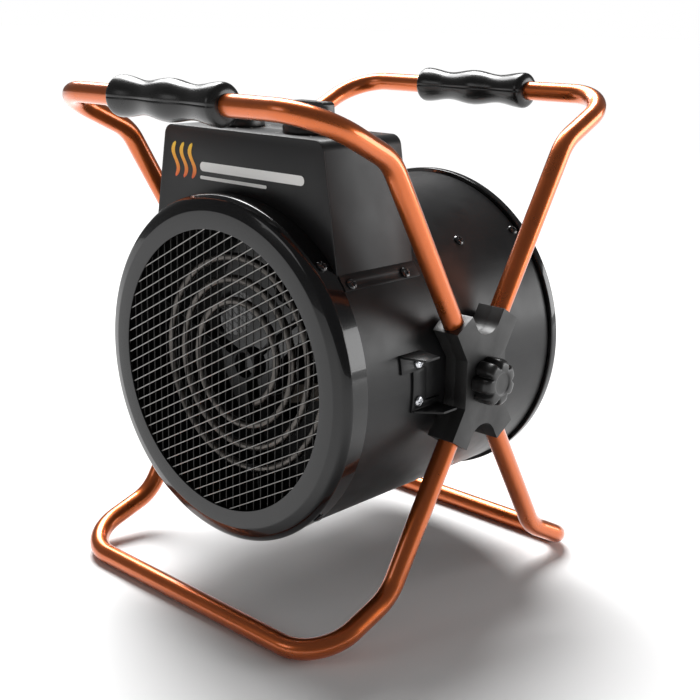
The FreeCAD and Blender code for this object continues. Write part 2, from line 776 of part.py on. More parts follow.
keep(made("element_clamp", element_clamp()), "element_clamp")

# Insulating strip that holds both legs, fixed to the liner, and a ceramic bush on each leg.
STRIP_Y = -70.0
STRIP_THICK = 2.0
STRIP_WIDTH = 14.0
BUSH_RADIUS = 6.0
BUSH_LENGTH = 8.0


def leg_bores(radius):
    """Cylinders along both legs, for cutting what they pass through."""
    along = Vector(0, 1, 0)
    return [Part.makeCylinder(radius, LEG_END, Vector(leg.x, -1.7 * LEG_END, leg.z), along)
            for leg in (inner_leg, outer_leg)]


def terminal_strip():
    span = outer_leg - inner_leg
    angle = math.degrees(math.atan2(span.z, span.x))
    strip = Part.makeBox(2 * float(liner_radius), STRIP_THICK, STRIP_WIDTH,
                         Vector(-STRIP_WIDTH / 2, 0, -STRIP_WIDTH / 2))
    strip.rotate(Vector(0, 0, 0), Vector(0, 1, 0), -angle)
    strip.translate(Vector(inner_leg.x, STRIP_Y, inner_leg.z))
    liner_inside = Part.makeCylinder(float(liner_radius) - 0.85, STRIP_THICK,
                                     Vector(0, STRIP_Y, float(AXLE)), Vector(0, 1, 0))
    strip = strip.common(liner_inside)
    for bore in leg_bores(float(size.element_radius) + 0.05):
        strip = strip.cut(bore)
    return strip


def ceramic_bushes():
    bushes = []
    for leg, bore in zip((inner_leg, outer_leg), leg_bores(float(size.element_radius) + 0.05)):
        start = Vector(leg.x, STRIP_Y + STRIP_THICK + 0.02, leg.z)
        bushes.append(Part.makeCylinder(BUSH_RADIUS, BUSH_LENGTH, start, Vector(0, 1, 0)).cut(bore))
    return Part.makeCompound(bushes)


keep(made("terminal_strip", terminal_strip()), "terminal_strip")
keep(made("ceramic_bushes", ceramic_bushes()), "ceramic_bushes")

# ---------------------------------------------------------------- fan and motor

FAN_FRONT = -6.0
FAN_DEPTH = 26.0
BLADES = 5
BLADE_THICK = 1.6


def fan_shape():
    """Hub cup and five flat blades set at the blade pitch, one solid."""
    axle = Vector(0, 0, float(AXLE))
    along = Vector(0, 1, 0)
    hub_radius = float(size.fan_hub_radius)
    tip = float(fan_radius)
    hub = Part.makeCylinder(hub_radius, FAN_DEPTH, axle + along * FAN_FRONT, along)
    cup = Part.makeCylinder(hub_radius - 2.5, FAN_DEPTH - 4, axle + along * (FAN_FRONT + 4), along)
    boss = Part.makeCylinder(8.0, FAN_DEPTH - 2, axle + along * (FAN_FRONT + 1), along)
    shape = hub.cut(cup).fuse(boss)
    middle = FAN_FRONT + FAN_DEPTH / 2
    chord = 0.86 * FAN_DEPTH / math.sin(math.radians(float(size.blade_pitch)))
    root = hub_radius - 1.5
    corners = [Vector(root, 0, -0.30 * chord), Vector(0.62 * tip, 0, -0.52 * chord),
               Vector(0.97 * tip, 0, -0.44 * chord), Vector(0.99 * tip, 0, 0.30 * chord),
               Vector(0.66 * tip, 0, 0.48 * chord), Vector(root, 0, 0.30 * chord)]
    outline = Part.makePolygon(corners + corners[:1])
    blade = Part.Face(outline).extrude(Vector(0, BLADE_THICK, 0))
    blade.translate(Vector(0, -BLADE_THICK / 2, 0))
    blade.rotate(Vector(0, 0, 0), Vector(1, 0, 0), float(size.blade_pitch))
    inner = Part.makeCylinder(hub_radius - 1.0, 4 * FAN_DEPTH, Vector(0, -2 * FAN_DEPTH, 0), along)
    blade = blade.cut(inner)
    for index in range(BLADES):
        turned_blade = blade.copy()
        turned_blade.rotate(Vector(0, 0, 0), along, 360.0 * index / BLADES)
        turned_blade.translate(axle + along * middle)
        shape = shape.fuse(turned_blade)
    bore = Part.makeCylinder(float(size.shaft_radius) + 0.02, 3 * FAN_DEPTH,
                             axle - along * FAN_DEPTH, along)
    return shape.cut(bore)


keep(made("fan", fan_shape()), "fan")

mount_back = size.mount_y + 2
motor_front = mount_back + 0.05
motor_bore = size.shaft_radius + 0.05
motor_profile = [
    (motor_bore, motor_front),
    (size.motor_radius - 6, motor_front),
    (size.motor_radius, motor_front + 8),
    (size.motor_radius, motor_front + size.motor_length - 12),
    (size.motor_radius - 8, motor_front + size.motor_length - 3),
    (14, motor_front + size.motor_length),
    (motor_bore, motor_front + size.motor_length),
]
keep(turned("motor", motor_profile, 0, 0, AXLE), "motor")
shaft_length = motor_front + size.motor_length + 6 - FAN_FRONT
keep(rod("motor_shaft", size.shaft_radius, shaft_length, 0, FAN_FRONT, AXLE, ROD_ALONG_Y), "motor_shaft")


def motor_mount():
    """Four strips from a centre plate to the shell, each end bent back along the shell."""
    y = float(size.mount_y)
    thick = 2.0
    along = Vector(0, 1, 0)
    axle = Vector(0, y, float(AXLE))
    reach = float(shell_outside) - float(size.sheet) - 0.1
    shape = Part.makeCylinder(38.0, thick, axle, along)
    for angle in CORNERS:
        strip = Part.makeBox(reach, thick, 20.0, Vector(0, 0, -10.0))
        tab = Part.makeBox(thick * 2, 15.0, 20.0, Vector(reach - thick * 2 + 0.5, 0, -10.0))
        arm = strip.fuse(tab)
        arm.rotate(Vector(0, 0, 0), along, -angle)
        arm.translate(axle)
        shape = shape.fuse(arm)
    trim = Part.makeCylinder(reach, 15.0, axle, along)
    hollow = Part.makeCylinder(reach - thick, 13.0, axle + along * thick, along)
    hole = Part.makeCylinder(12.0, thick, axle, along)
    return shape.common(trim).cut(hollow).cut(hole)


keep(cut("motor_mount_cut", made("motor_mount_blank", motor_mount()),
         radial_holes("mount_holes", mount_places)), "motor_mount")

# ---------------------------------------------------------------- control box

fold_half = shell_outside * cosine(size.box_fold_angle)
fold_z = shell_outside * sine(size.box_fold_angle)
side_slope = (fold_half - size.box_top_half) / (box_top - fold_z)
BOX_SKIRT = 12.0
skirt_half = fold_half + side_slope * BOX_SKIRT


def box_outline(inset):
    """The box seen from the front, its lower edge well inside the drum."""
    return [(-skirt_half + inset, fold_z - BOX_SKIRT), (skirt_half - inset, fold_z - BOX_SKIRT),
            (size.box_top_half - inset, box_top - inset),
            (-size.box_top_half + inset, box_top - inset)]


def box_prism(name, inset, front, rear, corner):
    """The outline from front to rear with its top corners rounded."""
    body = padded(name, [box_outline(inset)], front - rear, 0, -rear, AXLE, SEEN_FROM_FRONT)
    return rounded(body, name + "_corners", corner,
                   lambda edge, middle: across(edge) and middle.y > float(fold_z))


def drum_core(name):
    """The drum's own cylinder, for cutting what sits on it."""
    return rod(name, shell_outside + 0.05, 3 * size.bezel_front, 0, -2 * size.bezel_front, AXLE, ROD_ALONG_Y)


plate_back = size.box_front - size.box_sheet


def flange(name, start_angle):
    """A strip of the box's sheet lying on the drum, from the fold down."""
    sweep = size.box_fold_angle - size.box_flange_angle + 0.6
    turn = Rotation(Vector(0, 1, 0), -start_angle) * ROD_ALONG_Y
    radius = shell_outside + 0.05 + size.box_sheet
    strip = rod(name, radius, plate_back - size.box_rear, 0, -plate_back, AXLE, turn)
    return bind(strip, Angle=sweep)


hood_outer = box_prism("hood_outer", 0, plate_back, size.box_rear, size.box_corner)
hood_inner = box_prism("hood_inner", size.box_sheet, plate_back + 5, size.box_rear + size.box_sheet,
                       size.box_corner - size.box_sheet)
hood_walls = cut("hood_walls", hood_outer, hood_inner)
hood = fuse("hood", hood_walls,
            flange("flange_right", float(size.box_fold_angle) + 0.6),
            flange("flange_left", 180.0 - float(size.box_flange_angle)))
SPINDLE_HOLE = 4.5
hole_start = AXLE + box_top - 10
knob_x = (-size.knob_spacing, size.knob_spacing)
GLAND_X = -48.0
GLAND_Z = box_top - 24
GLAND_NECK = 7.0
keep(cut("control_box_cut", hood, drum_core("hood_core"),
         radial_holes("flange_holes", flange_places),
         rod("spindle_hole_left", SPINDLE_HOLE, 20, knob_x[0], -size.knob_y, hole_start, AS_DRAWN),
         rod("spindle_hole_right", SPINDLE_HOLE, 20, knob_x[1], -size.knob_y, hole_start, AS_DRAWN),
         rod("gland_hole", GLAND_NECK + 0.05, 20, GLAND_X, -size.box_rear - 10, AXLE + GLAND_Z, ROD_ALONG_Y)),
     "control_box")

front_plate = box_prism("front_plate_blank", 0, size.box_front, plate_back, size.box_corner)
keep(cut("control_box_front_cut", front_plate, drum_core("plate_core")), "control_box_front")

# ---------------------------------------------------------------- controls

KNOB_SKIRT = 7.0
KNOB_GAP = 0.5


def control_knob(name, x, label):
    """A round skirt with a tapered finger bar across it, over a blind bore for its spindle."""
    skirt = turned(name + "_skirt",
                   [(0, 0), (size.knob_radius, 0), (size.knob_radius, KNOB_SKIRT - 2.5),
                    (size.knob_radius - 0.8, KNOB_SKIRT - 0.8), (size.knob_radius - 2.8, KNOB_SKIRT),
                    (0, KNOB_SKIRT)],
                   x, -size.knob_y, AXLE + box_top + KNOB_GAP, AXIS_ALONG_Z)
    bar = padded(name + "_bar",
                 [[(-size.knob_radius + 1.4, KNOB_SKIRT - 3), (size.knob_radius - 1.4, KNOB_SKIRT - 3),
                   (size.knob_radius - 3.0, size.knob_height), (-size.knob_radius + 3.0, size.knob_height)]],
                 12, x, -size.knob_y + 6, AXLE + box_top + KNOB_GAP, SEEN_FROM_FRONT)
    rounded(bar, name + "_bar_soft", 3.0,
            lambda edge, middle: middle.y > KNOB_SKIRT and 0.5 < middle.z < 11.5)
    bore = rod(name + "_bore", size.spindle_radius + 0.02, size.knob_height - 6,
               x, -size.knob_y, AXLE + box_top + KNOB_GAP - 1, AS_DRAWN)
    return keep(cut(name + "_cut", fuse(name + "_solid", skirt, bar), bore), label)


control_knob("knob_a", knob_x[0], "thermostat_knob")
control_knob("knob_b", knob_x[1], "mode_knob")

BODY_DEPTH = 24.0
body_top = AXLE + box_top - size.box_sheet - 0.05
spindle_length = size.knob_height - 8 + KNOB_GAP + size.box_sheet + BODY_DEPTH / 2


def spindle(label, x):
    """The turning rod between a control's case and its knob."""
    keep(rod(label, size.spindle_radius, spindle_length,
             x, -size.knob_y, body_top - BODY_DEPTH / 2, AS_DRAWN), label)


def control_case(name, x, width, depth, label):
    """A moulded case under the top sheet with a hole for its spindle."""
    half = width / 2
    deep = depth / 2
    case = padded(name + "_case", [[(-half, -deep), (half, -deep), (half, deep), (-half, deep)]],
                  BODY_DEPTH, x, -size.knob_y, body_top - BODY_DEPTH, AS_DRAWN)
    rounded(case, name + "_case_soft", 2.5, lambda edge, middle: across(edge))
    hole = rod(name + "_way", size.spindle_radius + 0.1, BODY_DEPTH,
               x, -size.knob_y, body_top - BODY_DEPTH / 2 - 0.3, AS_DRAWN)
    keep(cut(name + "_cased", case, hole), label)


spindle("thermostat_spindle", knob_x[0])
spindle("mode_spindle", knob_x[1])
control_case("thermostat", knob_x[0], 38, 30, "thermostat")
control_case("mode_switch", knob_x[1], 32, 36, "mode_switch")

terminal = doc.addObject("Part::Box", "terminal_block")
bind(terminal, Length=44, Width=18, Height=16)
keep(place(terminal, -22, -58, AXLE + shell_outside + 0.1), "terminal_block")
keep(rod("thermal_cutout", 8, 8, 0, -62, AXLE + liner_radius + 0.1, AS_DRAWN), "thermal_cutout")

gland_profile = [
    (3.6, -6), (GLAND_NECK, -6), (GLAND_NECK, 0.05), (11, 0.05), (11, 5), (8.5, 8), (6.4, 22), (3.6, 22)]
keep(turned("cord_gland", gland_profile, GLAND_X, -size.box_rear, AXLE + GLAND_Z), "cord_gland")

# ---------------------------------------------------------------- pivots

lean_y = sine(size.leg_angle)
lean_z = cosine(size.leg_angle)
WASHER_RADIUS = 18.0
WASHER_FACE = 2.6
NOTCH_ROUND = 15.0


def arm_point(sideways, upwards, along, over):
    """A point on an arm: along it from the axis, and over from its middle away from the Z axis."""
    return (sideways * (lean_y * along + lean_z * over), upwards * (lean_z * along - lean_y * over))


def hub_outline():
    """Eight arm corners, four waist corners and four notch corners, in order round the hub."""
    reach = size.hub_reach
    half = hub_arm_half
    waist_z = (size.hub_waist * lean_z - half) / lean_y
    notch_half = (hub_notch * lean_y - half) / lean_z
    points = []
    for sideways, upwards in ((1, 1), (1, -1), (-1, -1), (-1, 1)):
        notch = (sideways * notch_half, upwards * hub_notch)
        corner_in = arm_point(sideways, upwards, reach, -half)
        corner_out = arm_point(sideways, upwards, reach, half)
        waist = (sideways * size.hub_waist, upwards * waist_z)
        quarter = [notch, corner_in, corner_out, waist]
        if sideways * upwards < 0:
            quarter.reverse()
        points.extend(quarter)
    return points


def hub_half(name, from_x, to_x):
    """One half of the clamp: the X outline less the four tube seats and the stud hole."""
    body = padded(name + "_blank", [hub_outline()], to_x - from_x, from_x, 0, AXLE, SEEN_FROM_SIDE)
    rounded(body, name + "_notch_round", NOTCH_ROUND,
            lambda edge, middle: across(edge) and abs(abs(middle.y) - float(hub_notch)) < 0.1
            and abs(middle.x) < 15)
    seats = []
    for number, (sideways, upwards) in enumerate(((1, 1), (1, -1), (-1, -1), (-1, 1))):
        turn = Rotation(Vector(0, 0, 1), Vector(0, sideways * lean_y.value, upwards * lean_z.value))
        start = size.tube_start - 0.1
        seats.append(rod("%s_seat_%d" % (name, number), size.tube_radius + 0.05, size.hub_reach,
                         track_half, sideways * lean_y * start, AXLE + upwards * lean_z * start, turn))
    bore = rod(name + "_bore", size.stud_radius + 0.2, 60, track_half - 30, 0, AXLE, ROD_ALONG_X)
    return body, seats + [bore]


HUB_SCREW_Z = 28.0
HUB_SCREW_RADIUS = 1.8
HUB_HEAD_RADIUS = 3.4
HUB_HEAD = 2.2
HUB_HEAD_SINK = 6.8
TILTS = (-10, 0, 10, 20)


def tilted_drum(angle):
    """The drum's cylinder with its running gap, nose up by an angle, for hollowing a hub."""
    turn = Rotation(Vector(1, 0, 0), -angle) * ROD_ALONG_Y
    reach = size.bezel_front
    tilt = math.radians(angle)
    start = (0, -reach * math.cos(tilt), AXLE + reach * math.sin(tilt))
    return rod("drum_nose_up_%d" % (angle + 10), shell_outside + size.gap, 2 * reach, *start, turn)


def hub_screw_rods(name, radius, start, length):
    return [rod("%s_%d" % (name, number), radius, length, start, 0, AXLE + z, ROD_ALONG_X)
            for number, z in enumerate((-HUB_SCREW_Z, HUB_SCREW_Z))]


head_seat = hub_inner + HUB_HEAD_SINK
outer_half, outer_tools = hub_half("hub_outer", track_half, hub_outer)
outer_tools += hub_screw_rods("hub_outer_screw_hole", HUB_SCREW_RADIUS + 0.05, track_half - 1, 8)
both_sides(cut("hub_outer_cut", outer_half, *outer_tools), "hub_outer")

inner_half, inner_tools = hub_half("hub_inner", hub_inner, track_half)
inner_tools += hub_screw_rods("hub_inner_screw_hole", HUB_SCREW_RADIUS + 0.05, hub_inner - 1, 20)
inner_tools += hub_screw_rods("hub_inner_head_hole", HUB_HEAD_RADIUS + 0.3,
                              hub_inner - 1, HUB_HEAD_SINK + 1)
inner_tools += [tilted_drum(angle) for angle in TILTS]
washer_seat = shell_outside + WASHER_FACE
inner_tools.append(rod("hub_washer_seat", WASHER_RADIUS + 1.0, 10,
                       washer_seat + size.gap - 10, 0, AXLE, ROD_ALONG_X))
both_sides(cut("hub_inner_cut", inner_half, *inner_tools), "hub_inner")

hub_screws = []
for z in (-HUB_SCREW_Z, HUB_SCREW_Z):
    at = Vector(float(head_seat), 0, float(AXLE) + z)
    head = Part.makeCylinder(HUB_HEAD_RADIUS, HUB_HEAD, at - Vector(HUB_HEAD, 0, 0), Vector(1, 0, 0))
    shank = Part.makeCylinder(HUB_SCREW_RADIUS, 12.0, at - Vector(1, 0, 0), Vector(1, 0, 0))
    hub_screws.append(head.fuse(shank))
both_sides(made("hub_screws", Part.makeCompound(hub_screws)), "hub_screws")

# Saddle washer between drum and hub, hollowed to sit on the drum.
washer_blank = rod("washer_blank", WASHER_RADIUS, 8, washer_seat - 8, 0, AXLE, ROD_ALONG_X)
both_sides(cut("washer_cut", washer_blank, drum_core("washer_core"),
               rod("washer_hole", size.stud_radius + 0.05, 30, size.drum_radius - 15, 0, AXLE, ROD_ALONG_X)),
           "pivot_washer")

# Stud with a plate inside the drum wall.
STUD_PLATE = 20.0
plate_face = square_root((shell_outside - size.sheet) * (shell_outside - size.sheet)
                         - STUD_PLATE * STUD_PLATE) - 0.1
stud_profile = [
    (0, plate_face - 3), (STUD_PLATE, plate_face - 3), (STUD_PLATE, plate_face),
    (size.stud_radius, plate_face), (size.stud_radius, hub_outer + size.star_length - 3),
    (0, hub_outer + size.star_length - 3)]
both_sides(turned("pivot_stud", stud_profile, 0, 0, AXLE, AXIS_ALONG_X), "pivot_stud")

# Star knob: a disc with flutes round its rim.
FLUTES = 7
FLUTE_RADIUS = 4.5
star = doc.addObject("PartDesign::Body", "star_knob")
star_disc = star.newObject("PartDesign::Pad", "star_disc")
star_disc.Profile = draw(star, "star_outline", [("circle", 0, 0, size.star_radius)])
bind(star_disc, Length=size.star_length)
doc.recompute()
flute = star.newObject("PartDesign::Pocket", "star_flute")
flute.Profile = draw(star, "flute_outline", [("circle", size.star_radius + 1.2, 0, FLUTE_RADIUS)])
flute.Type = "ThroughAll"
flute.Midplane = True
doc.recompute()
flutes = star.newObject("PartDesign::PolarPattern", "star_flutes")
flutes.Originals = [flute]
flutes.Axis = (star.Origin.OriginFeatures[2], [""])
flutes.Angle = 360
flutes.Occurrences = FLUTES
star.Tip = flutes
doc.recompute()
place(star, hub_outer + size.gap, 0, AXLE, SEEN_FROM_SIDE)
star_bore = rod("star_bore", size.stud_radius + 0.05, size.star_length - 1.5,
                hub_outer, 0, AXLE, ROD_ALONG_X)
both_sides(cut("star_cut", star, star_bore), "star_knob")

# ---------------------------------------------------------------- tilt stops

STOP_SHEET = 1.6
STOP_TOP = 28.6
STOP_BOTTOM = -17.6
LUG_REACH = 18.5


def tilt_stop():
    """A strip hugging the drum's side, with one lug above and one below."""
    radius = float(shell_outside) + 0.05
    thick = STOP_SHEET
    along = Vector(0, 1, 0)
    axle = float(AXLE)

    def hugging(y_from, y_to, z_from, z_to):
        ring = Part.makeCylinder(radius + thick, y_to - y_from, Vector(0, y_from, axle), along)
        core = Part.makeCylinder(radius, y_to - y_from, Vector(0, y_from, axle), along)
        window = Part.makeBox(2 * radius, y_to - y_from, z_to - z_from, Vector(0, y_from, axle + z_from))
        return ring.cut(core).common(window)

    core = Part.makeCylinder(radius, 200, Vector(0, -100, axle), along)
    def lug(level, root_from, root_to, tip_from, tip_to):
        """A level plate from the drum outwards, narrower at its tip."""
        tip = radius + LUG_REACH
        corners = [Vector(radius - 10, root_from, level), Vector(radius + 2, root_from, level),
                   Vector(tip, tip_from, level), Vector(tip, tip_to, level),
                   Vector(radius + 2, root_to, level), Vector(radius - 10, root_to, level)]
        return Part.Face(Part.makePolygon(corners + corners[:1])).extrude(Vector(0, 0, thick)).cut(core)

    strip = hugging(-76.0, -52.0, STOP_TOP - 14, STOP_TOP)
    strip = strip.fuse(hugging(-63.0, -48.0, STOP_BOTTOM, STOP_TOP - 13))
    foot = hugging(-63.0, -31.0, STOP_BOTTOM, STOP_BOTTOM + 7)
    upper = lug(axle + STOP_TOP - thick, -76.0, -52.0, -71.0, -55.0)
    lower = lug(axle + STOP_BOTTOM, -62.0, -31.0, -47.0, -31.5)
    return strip.fuse(foot).fuse(upper).fuse(lower)


both_sides(cut("tilt_stop_cut", made("tilt_stop_blank", tilt_stop()),
               radial_holes("stop_holes", STOP_SCREWS)), "tilt_stop")
stop_screws = radial_screw_set(STOP_SCREWS, float(shell_outside) + STOP_SHEET + 0.1)
both_sides(made("tilt_stop_screws", stop_screws), "tilt_stop_screws")

# ---------------------------------------------------------------- check and write

doc.recompute()
faults = []
for thing in doc.Objects:
    if any(word in thing.State for word in ("Invalid", "Error")):
        faults.append("%s is %s" % (thing.Name, thing.State))
for piece in pieces:
    if piece.Shape.isNull():
        faults.append("%s has no shape" % piece.Label)
    elif not piece.Shape.isValid() or piece.Shape.Volume <= 0:
        faults.append("%s has a bad shape" % piece.Label)
if faults:
    raise RuntimeError("; ".join(faults))

os.makedirs("parts", exist_ok=True)
for piece in pieces:
    piece.Shape.exportStep("parts/%s.step" % piece.Label)
    print("%-26s %9.1f mm3  %d solid(s)" % (piece.Label, piece.Shape.Volume, len(piece.Shape.Solids)))
print(len(pieces), "pieces")
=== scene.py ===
"""A portable fan heater: a satin black drum with a gloss bezel and a wire guard, tilting in a
copper-painted tube stand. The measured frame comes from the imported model; this add-on gives it
its surfaces, rounded edges, screws, printed marks, finishes, lights and camera."""

import json
import math

import bmesh
import bpy
import numpy as np
from mathutils import Matrix, Vector


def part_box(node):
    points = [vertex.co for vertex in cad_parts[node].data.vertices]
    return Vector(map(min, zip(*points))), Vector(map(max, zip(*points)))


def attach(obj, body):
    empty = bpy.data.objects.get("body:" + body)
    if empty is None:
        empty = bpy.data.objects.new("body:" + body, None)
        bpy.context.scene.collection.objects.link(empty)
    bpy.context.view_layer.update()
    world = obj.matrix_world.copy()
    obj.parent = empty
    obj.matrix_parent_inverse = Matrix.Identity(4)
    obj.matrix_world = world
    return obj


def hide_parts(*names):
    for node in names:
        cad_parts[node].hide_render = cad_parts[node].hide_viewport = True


bl_info = {
    "name": "Fan Heater",
    "version": (1, 0, 0),
    "blender": (4, 5, 0),
    "location": "View3D > Sidebar > Heater",
    "description": "Surfaces, finishes and studio for a tilting drum fan heater",
    "category": "Object",
}

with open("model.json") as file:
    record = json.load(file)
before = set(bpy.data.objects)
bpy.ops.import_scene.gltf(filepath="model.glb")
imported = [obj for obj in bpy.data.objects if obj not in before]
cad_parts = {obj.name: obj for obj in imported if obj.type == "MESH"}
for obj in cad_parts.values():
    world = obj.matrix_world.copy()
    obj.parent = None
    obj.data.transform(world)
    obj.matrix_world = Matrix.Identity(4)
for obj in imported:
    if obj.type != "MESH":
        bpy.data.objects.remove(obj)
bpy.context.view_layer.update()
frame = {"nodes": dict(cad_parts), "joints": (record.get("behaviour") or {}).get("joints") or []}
AXLE = Vector(frame["joints"][0]["pos_m"])
SIDES = ("left", "right")
WHOLE_TURN = 2 * math.pi
END_STEP = 0.0030    # metres, depth and width of the step round the bore in a grip's end


# ------------------------------------------------------------------ sizes and colours

def length(name, description, default):
    return bpy.props.FloatProperty(name=name, description=description, default=default,
                                   min=0.0, unit="LENGTH", subtype="DISTANCE")


def colour(name, description, default):
    return bpy.props.FloatVectorProperty(name=name, description=description, default=default,
                                         size=4, min=0.0, max=1.0, subtype="COLOR")


class HeaterSizes(bpy.types.PropertyGroup):
    wire_pitch: length("Wire pitch", "Spacing of the guard wires", 0.0079)
    wire_slant: bpy.props.FloatProperty(name="Wire slant", description="Slant of the front layer of wires",
                                        default=math.radians(28.6), subtype="ANGLE")
    bezel_sheet: length("Bezel sheet", "Thickness of the bezel and the rear ring", 0.0010)
    edge_soft: length("Moulded edge", "Rounding of moulded plastic edges", 0.0012)
    fold_soft: length("Folded edge", "Rounding of folded sheet edges", 0.0009)
    grip_seam: length("Grip seam", "Depth of the parting line of a grip", 0.0004)
    screw_head: length("Screw head", "Height of a pan head", 0.0024)
    cross_depth: length("Screw cross", "Depth of the cross in a screw head", 0.0013)
    ink: length("Ink", "Thickness of printed marks", 0.00012)
    tick: length("Tick", "Length of a mark round a dial", 0.0032)


class HeaterColours(bpy.types.PropertyGroup):
    copper: colour("Copper enamel", "Stand tubes", (0.60, 0.135, 0.030, 1.0))
    gloss_black: colour("Gloss black", "Bezel, collar and rear ring", (0.005, 0.005, 0.0055, 1.0))
    satin_black: colour("Satin black", "Drum shell and control box", (0.0075, 0.0075, 0.008, 1.0))
    plastic_black: colour("Black plastic", "Hubs, knobs and grips", (0.013, 0.0127, 0.0125, 1.0))
    bright_wire: colour("Bright wire", "Guard wires", (0.32, 0.315, 0.305, 1.0))
    sheath: colour("Element sheath", "Heating element", (0.15, 0.138, 0.128, 1.0))
    zinc: colour("Zinc", "Plated screws and studs", (0.66, 0.67, 0.70, 1.0))
    white_ink: colour("White ink", "Printed marks", (0.82, 0.82, 0.80, 1.0))
    warm_low: colour("Warm ink, low", "Foot of the heat mark", (0.85, 0.10, 0.01, 1.0))
    warm_high: colour("Warm ink, high", "Top of the heat mark", (0.95, 0.58, 0.03, 1.0))


# ------------------------------------------------------------------ surfaces

def settle(mesh, crease=35.0):
    """Weld what coincides, turn the faces outwards and keep edges sharper than crease crisp."""
    bm = bmesh.new()
    bm.from_mesh(mesh)
    bmesh.ops.remove_doubles(bm, verts=bm.verts, dist=2e-7)
    bmesh.ops.dissolve_degenerate(bm, edges=bm.edges, dist=1e-7)
    bmesh.ops.recalc_face_normals(bm, faces=bm.faces)
    bm.to_mesh(mesh)
    bm.free()
    mesh.shade_smooth()
    mesh.set_sharp_from_angle(angle=math.radians(crease))
    return mesh


def quads(rows, columns, loop_rows, loop_columns):
    """Corner numbers of every cell of a grid, each row and column joined to its next."""
    number = np.arange(rows * columns).reshape(rows, columns)
    number = np.concatenate([number, number[:1]]) if loop_rows else number
    number = np.concatenate([number, number[:, :1]], 1) if loop_columns else number
    cells = np.stack([number[:-1, :-1], number[:-1, 1:], number[1:, 1:], number[1:, :-1]], -1)
    return cells.reshape(-1, 4)


def surface(name, grids, loop_rows=False, crease=35.0):
    """One object of one or more closed grids of points, each rows x columns x 3.

    Columns always join up. Rows join up too for a ring, else the first and last are capped."""
    points, faces, start = [], [], 0
    for grid in grids:
        rows, columns, _ = grid.shape
        points.append(grid.reshape(-1, 3))
        faces += (quads(rows, columns, loop_rows, True) + start).tolist()
        if not loop_rows:
            last = start + (rows - 1) * columns
            faces.append(list(range(start, start + columns)))
            faces.append(list(range(last, last + columns)))
        start += rows * columns
    mesh = bpy.data.meshes.new(name)
    mesh.from_pydata(np.concatenate(points), [], faces)
    piece = bpy.data.objects.new(name, settle(mesh, crease))
    bpy.context.scene.collection.objects.link(piece)
    return piece


def eased(corners, radii, steps=7):
    """A closed outline with each corner replaced by a tangent arc of its radius.

    With u and v the unit directions to the neighbours and h half the angle between them, the arc's
    centre lies radius / sin(h) along u + v, and its ends lie radius / tan(h) along u and v."""
    corners = np.asarray(corners, float)
    radii = np.broadcast_to(np.asarray(radii, float), len(corners))[:, None]
    u = np.roll(corners, 1, 0) - corners
    v = np.roll(corners, -1, 0) - corners
    u /= np.linalg.norm(u, axis=1, keepdims=True)
    v /= np.linalg.norm(v, axis=1, keepdims=True)
    half = np.arccos(np.clip((u * v).sum(1, keepdims=True), -1, 1)) / 2
    middle = (u + v) / np.maximum(np.linalg.norm(u + v, axis=1, keepdims=True), 1e-12)
    centre = corners + middle * radii / np.sin(half)
    first = corners + u * radii / np.tan(half) - centre
    last = corners + v * radii / np.tan(half) - centre
    swing = np.maximum(np.pi - 2 * half, 1e-6)[:, None]
    share = np.linspace(0, 1, steps)[None, :, None]
    arc = np.sin((1 - share) * swing) * first[:, None] + np.sin(share * swing) * last[:, None]
    return (centre[:, None] + arc / np.sin(swing)).reshape(-1, 2)


def lathe(outline, segments):
    """Grid of a closed outline of (radius, y) points carried round the drum's axis."""
    turn = np.linspace(0, WHOLE_TURN, segments, endpoint=False)[None]
    radius, y = outline[:, :1], outline[:, 1:]
    return np.stack([AXLE.x + radius * np.cos(turn), y + 0 * turn, AXLE.z + radius * np.sin(turn)], -1)


def welded_copy(node):
    """Mesh data of a node's copy with its coincident points joined and its flats made whole."""
    bm = bmesh.new()
    bm.from_mesh(frame["nodes"][node].data)
    bmesh.ops.remove_doubles(bm, verts=bm.verts, dist=1e-6)
    bmesh.ops.dissolve_limit(bm, angle_limit=math.radians(0.6), verts=bm.verts, edges=bm.edges)
    mesh = bpy.data.meshes.new(node + "_copy")
    bm.to_mesh(mesh)
    bm.free()
    mesh.materials.clear()
    return mesh


def applied(piece):
    """The piece with its modifiers made part of its mesh."""
    shape = bpy.data.meshes.new_from_object(piece.evaluated_get(bpy.context.evaluated_depsgraph_get()))
    piece.modifiers.clear()
    piece.data = shape
    return piece


def softened(node, width, rounds=3, limit=30.0):
    """A node's copy with its edges sharper than the limit rounded by a bevel of the given width."""
    piece = bpy.data.objects.new(node + "_soft", welded_copy(node))
    bpy.context.scene.collection.objects.link(piece)
    bevel = piece.modifiers.new("rounding", "BEVEL")
    bevel.width = width
    bevel.segments = rounds
    bevel.limit_method = "ANGLE"
    bevel.angle_limit = math.radians(limit)
    bevel.harden_normals = False
    bevel.miter_outer = "MITER_ARC"
    applied(piece)
    piece.data.shade_smooth()
    piece.data.set_sharp_from_angle(angle=math.radians(32))
    return piece


def stand_for(piece, body, slot_name, finish, *nodes):
    """Give a piece its finish, let it ride on its body and take the place of CAD nodes."""
    piece.data.materials.clear()
    piece.data.materials.append(finish)
    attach(piece, body)
    if nodes:
        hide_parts(*nodes)
    return piece


def coat_node(node, finish):
    """Put a finish on a CAD node's own slots."""
    slots = frame["nodes"][node].data.materials
    slots.clear()
    slots.append(finish)


# ------------------------------------------------------------------ finishes

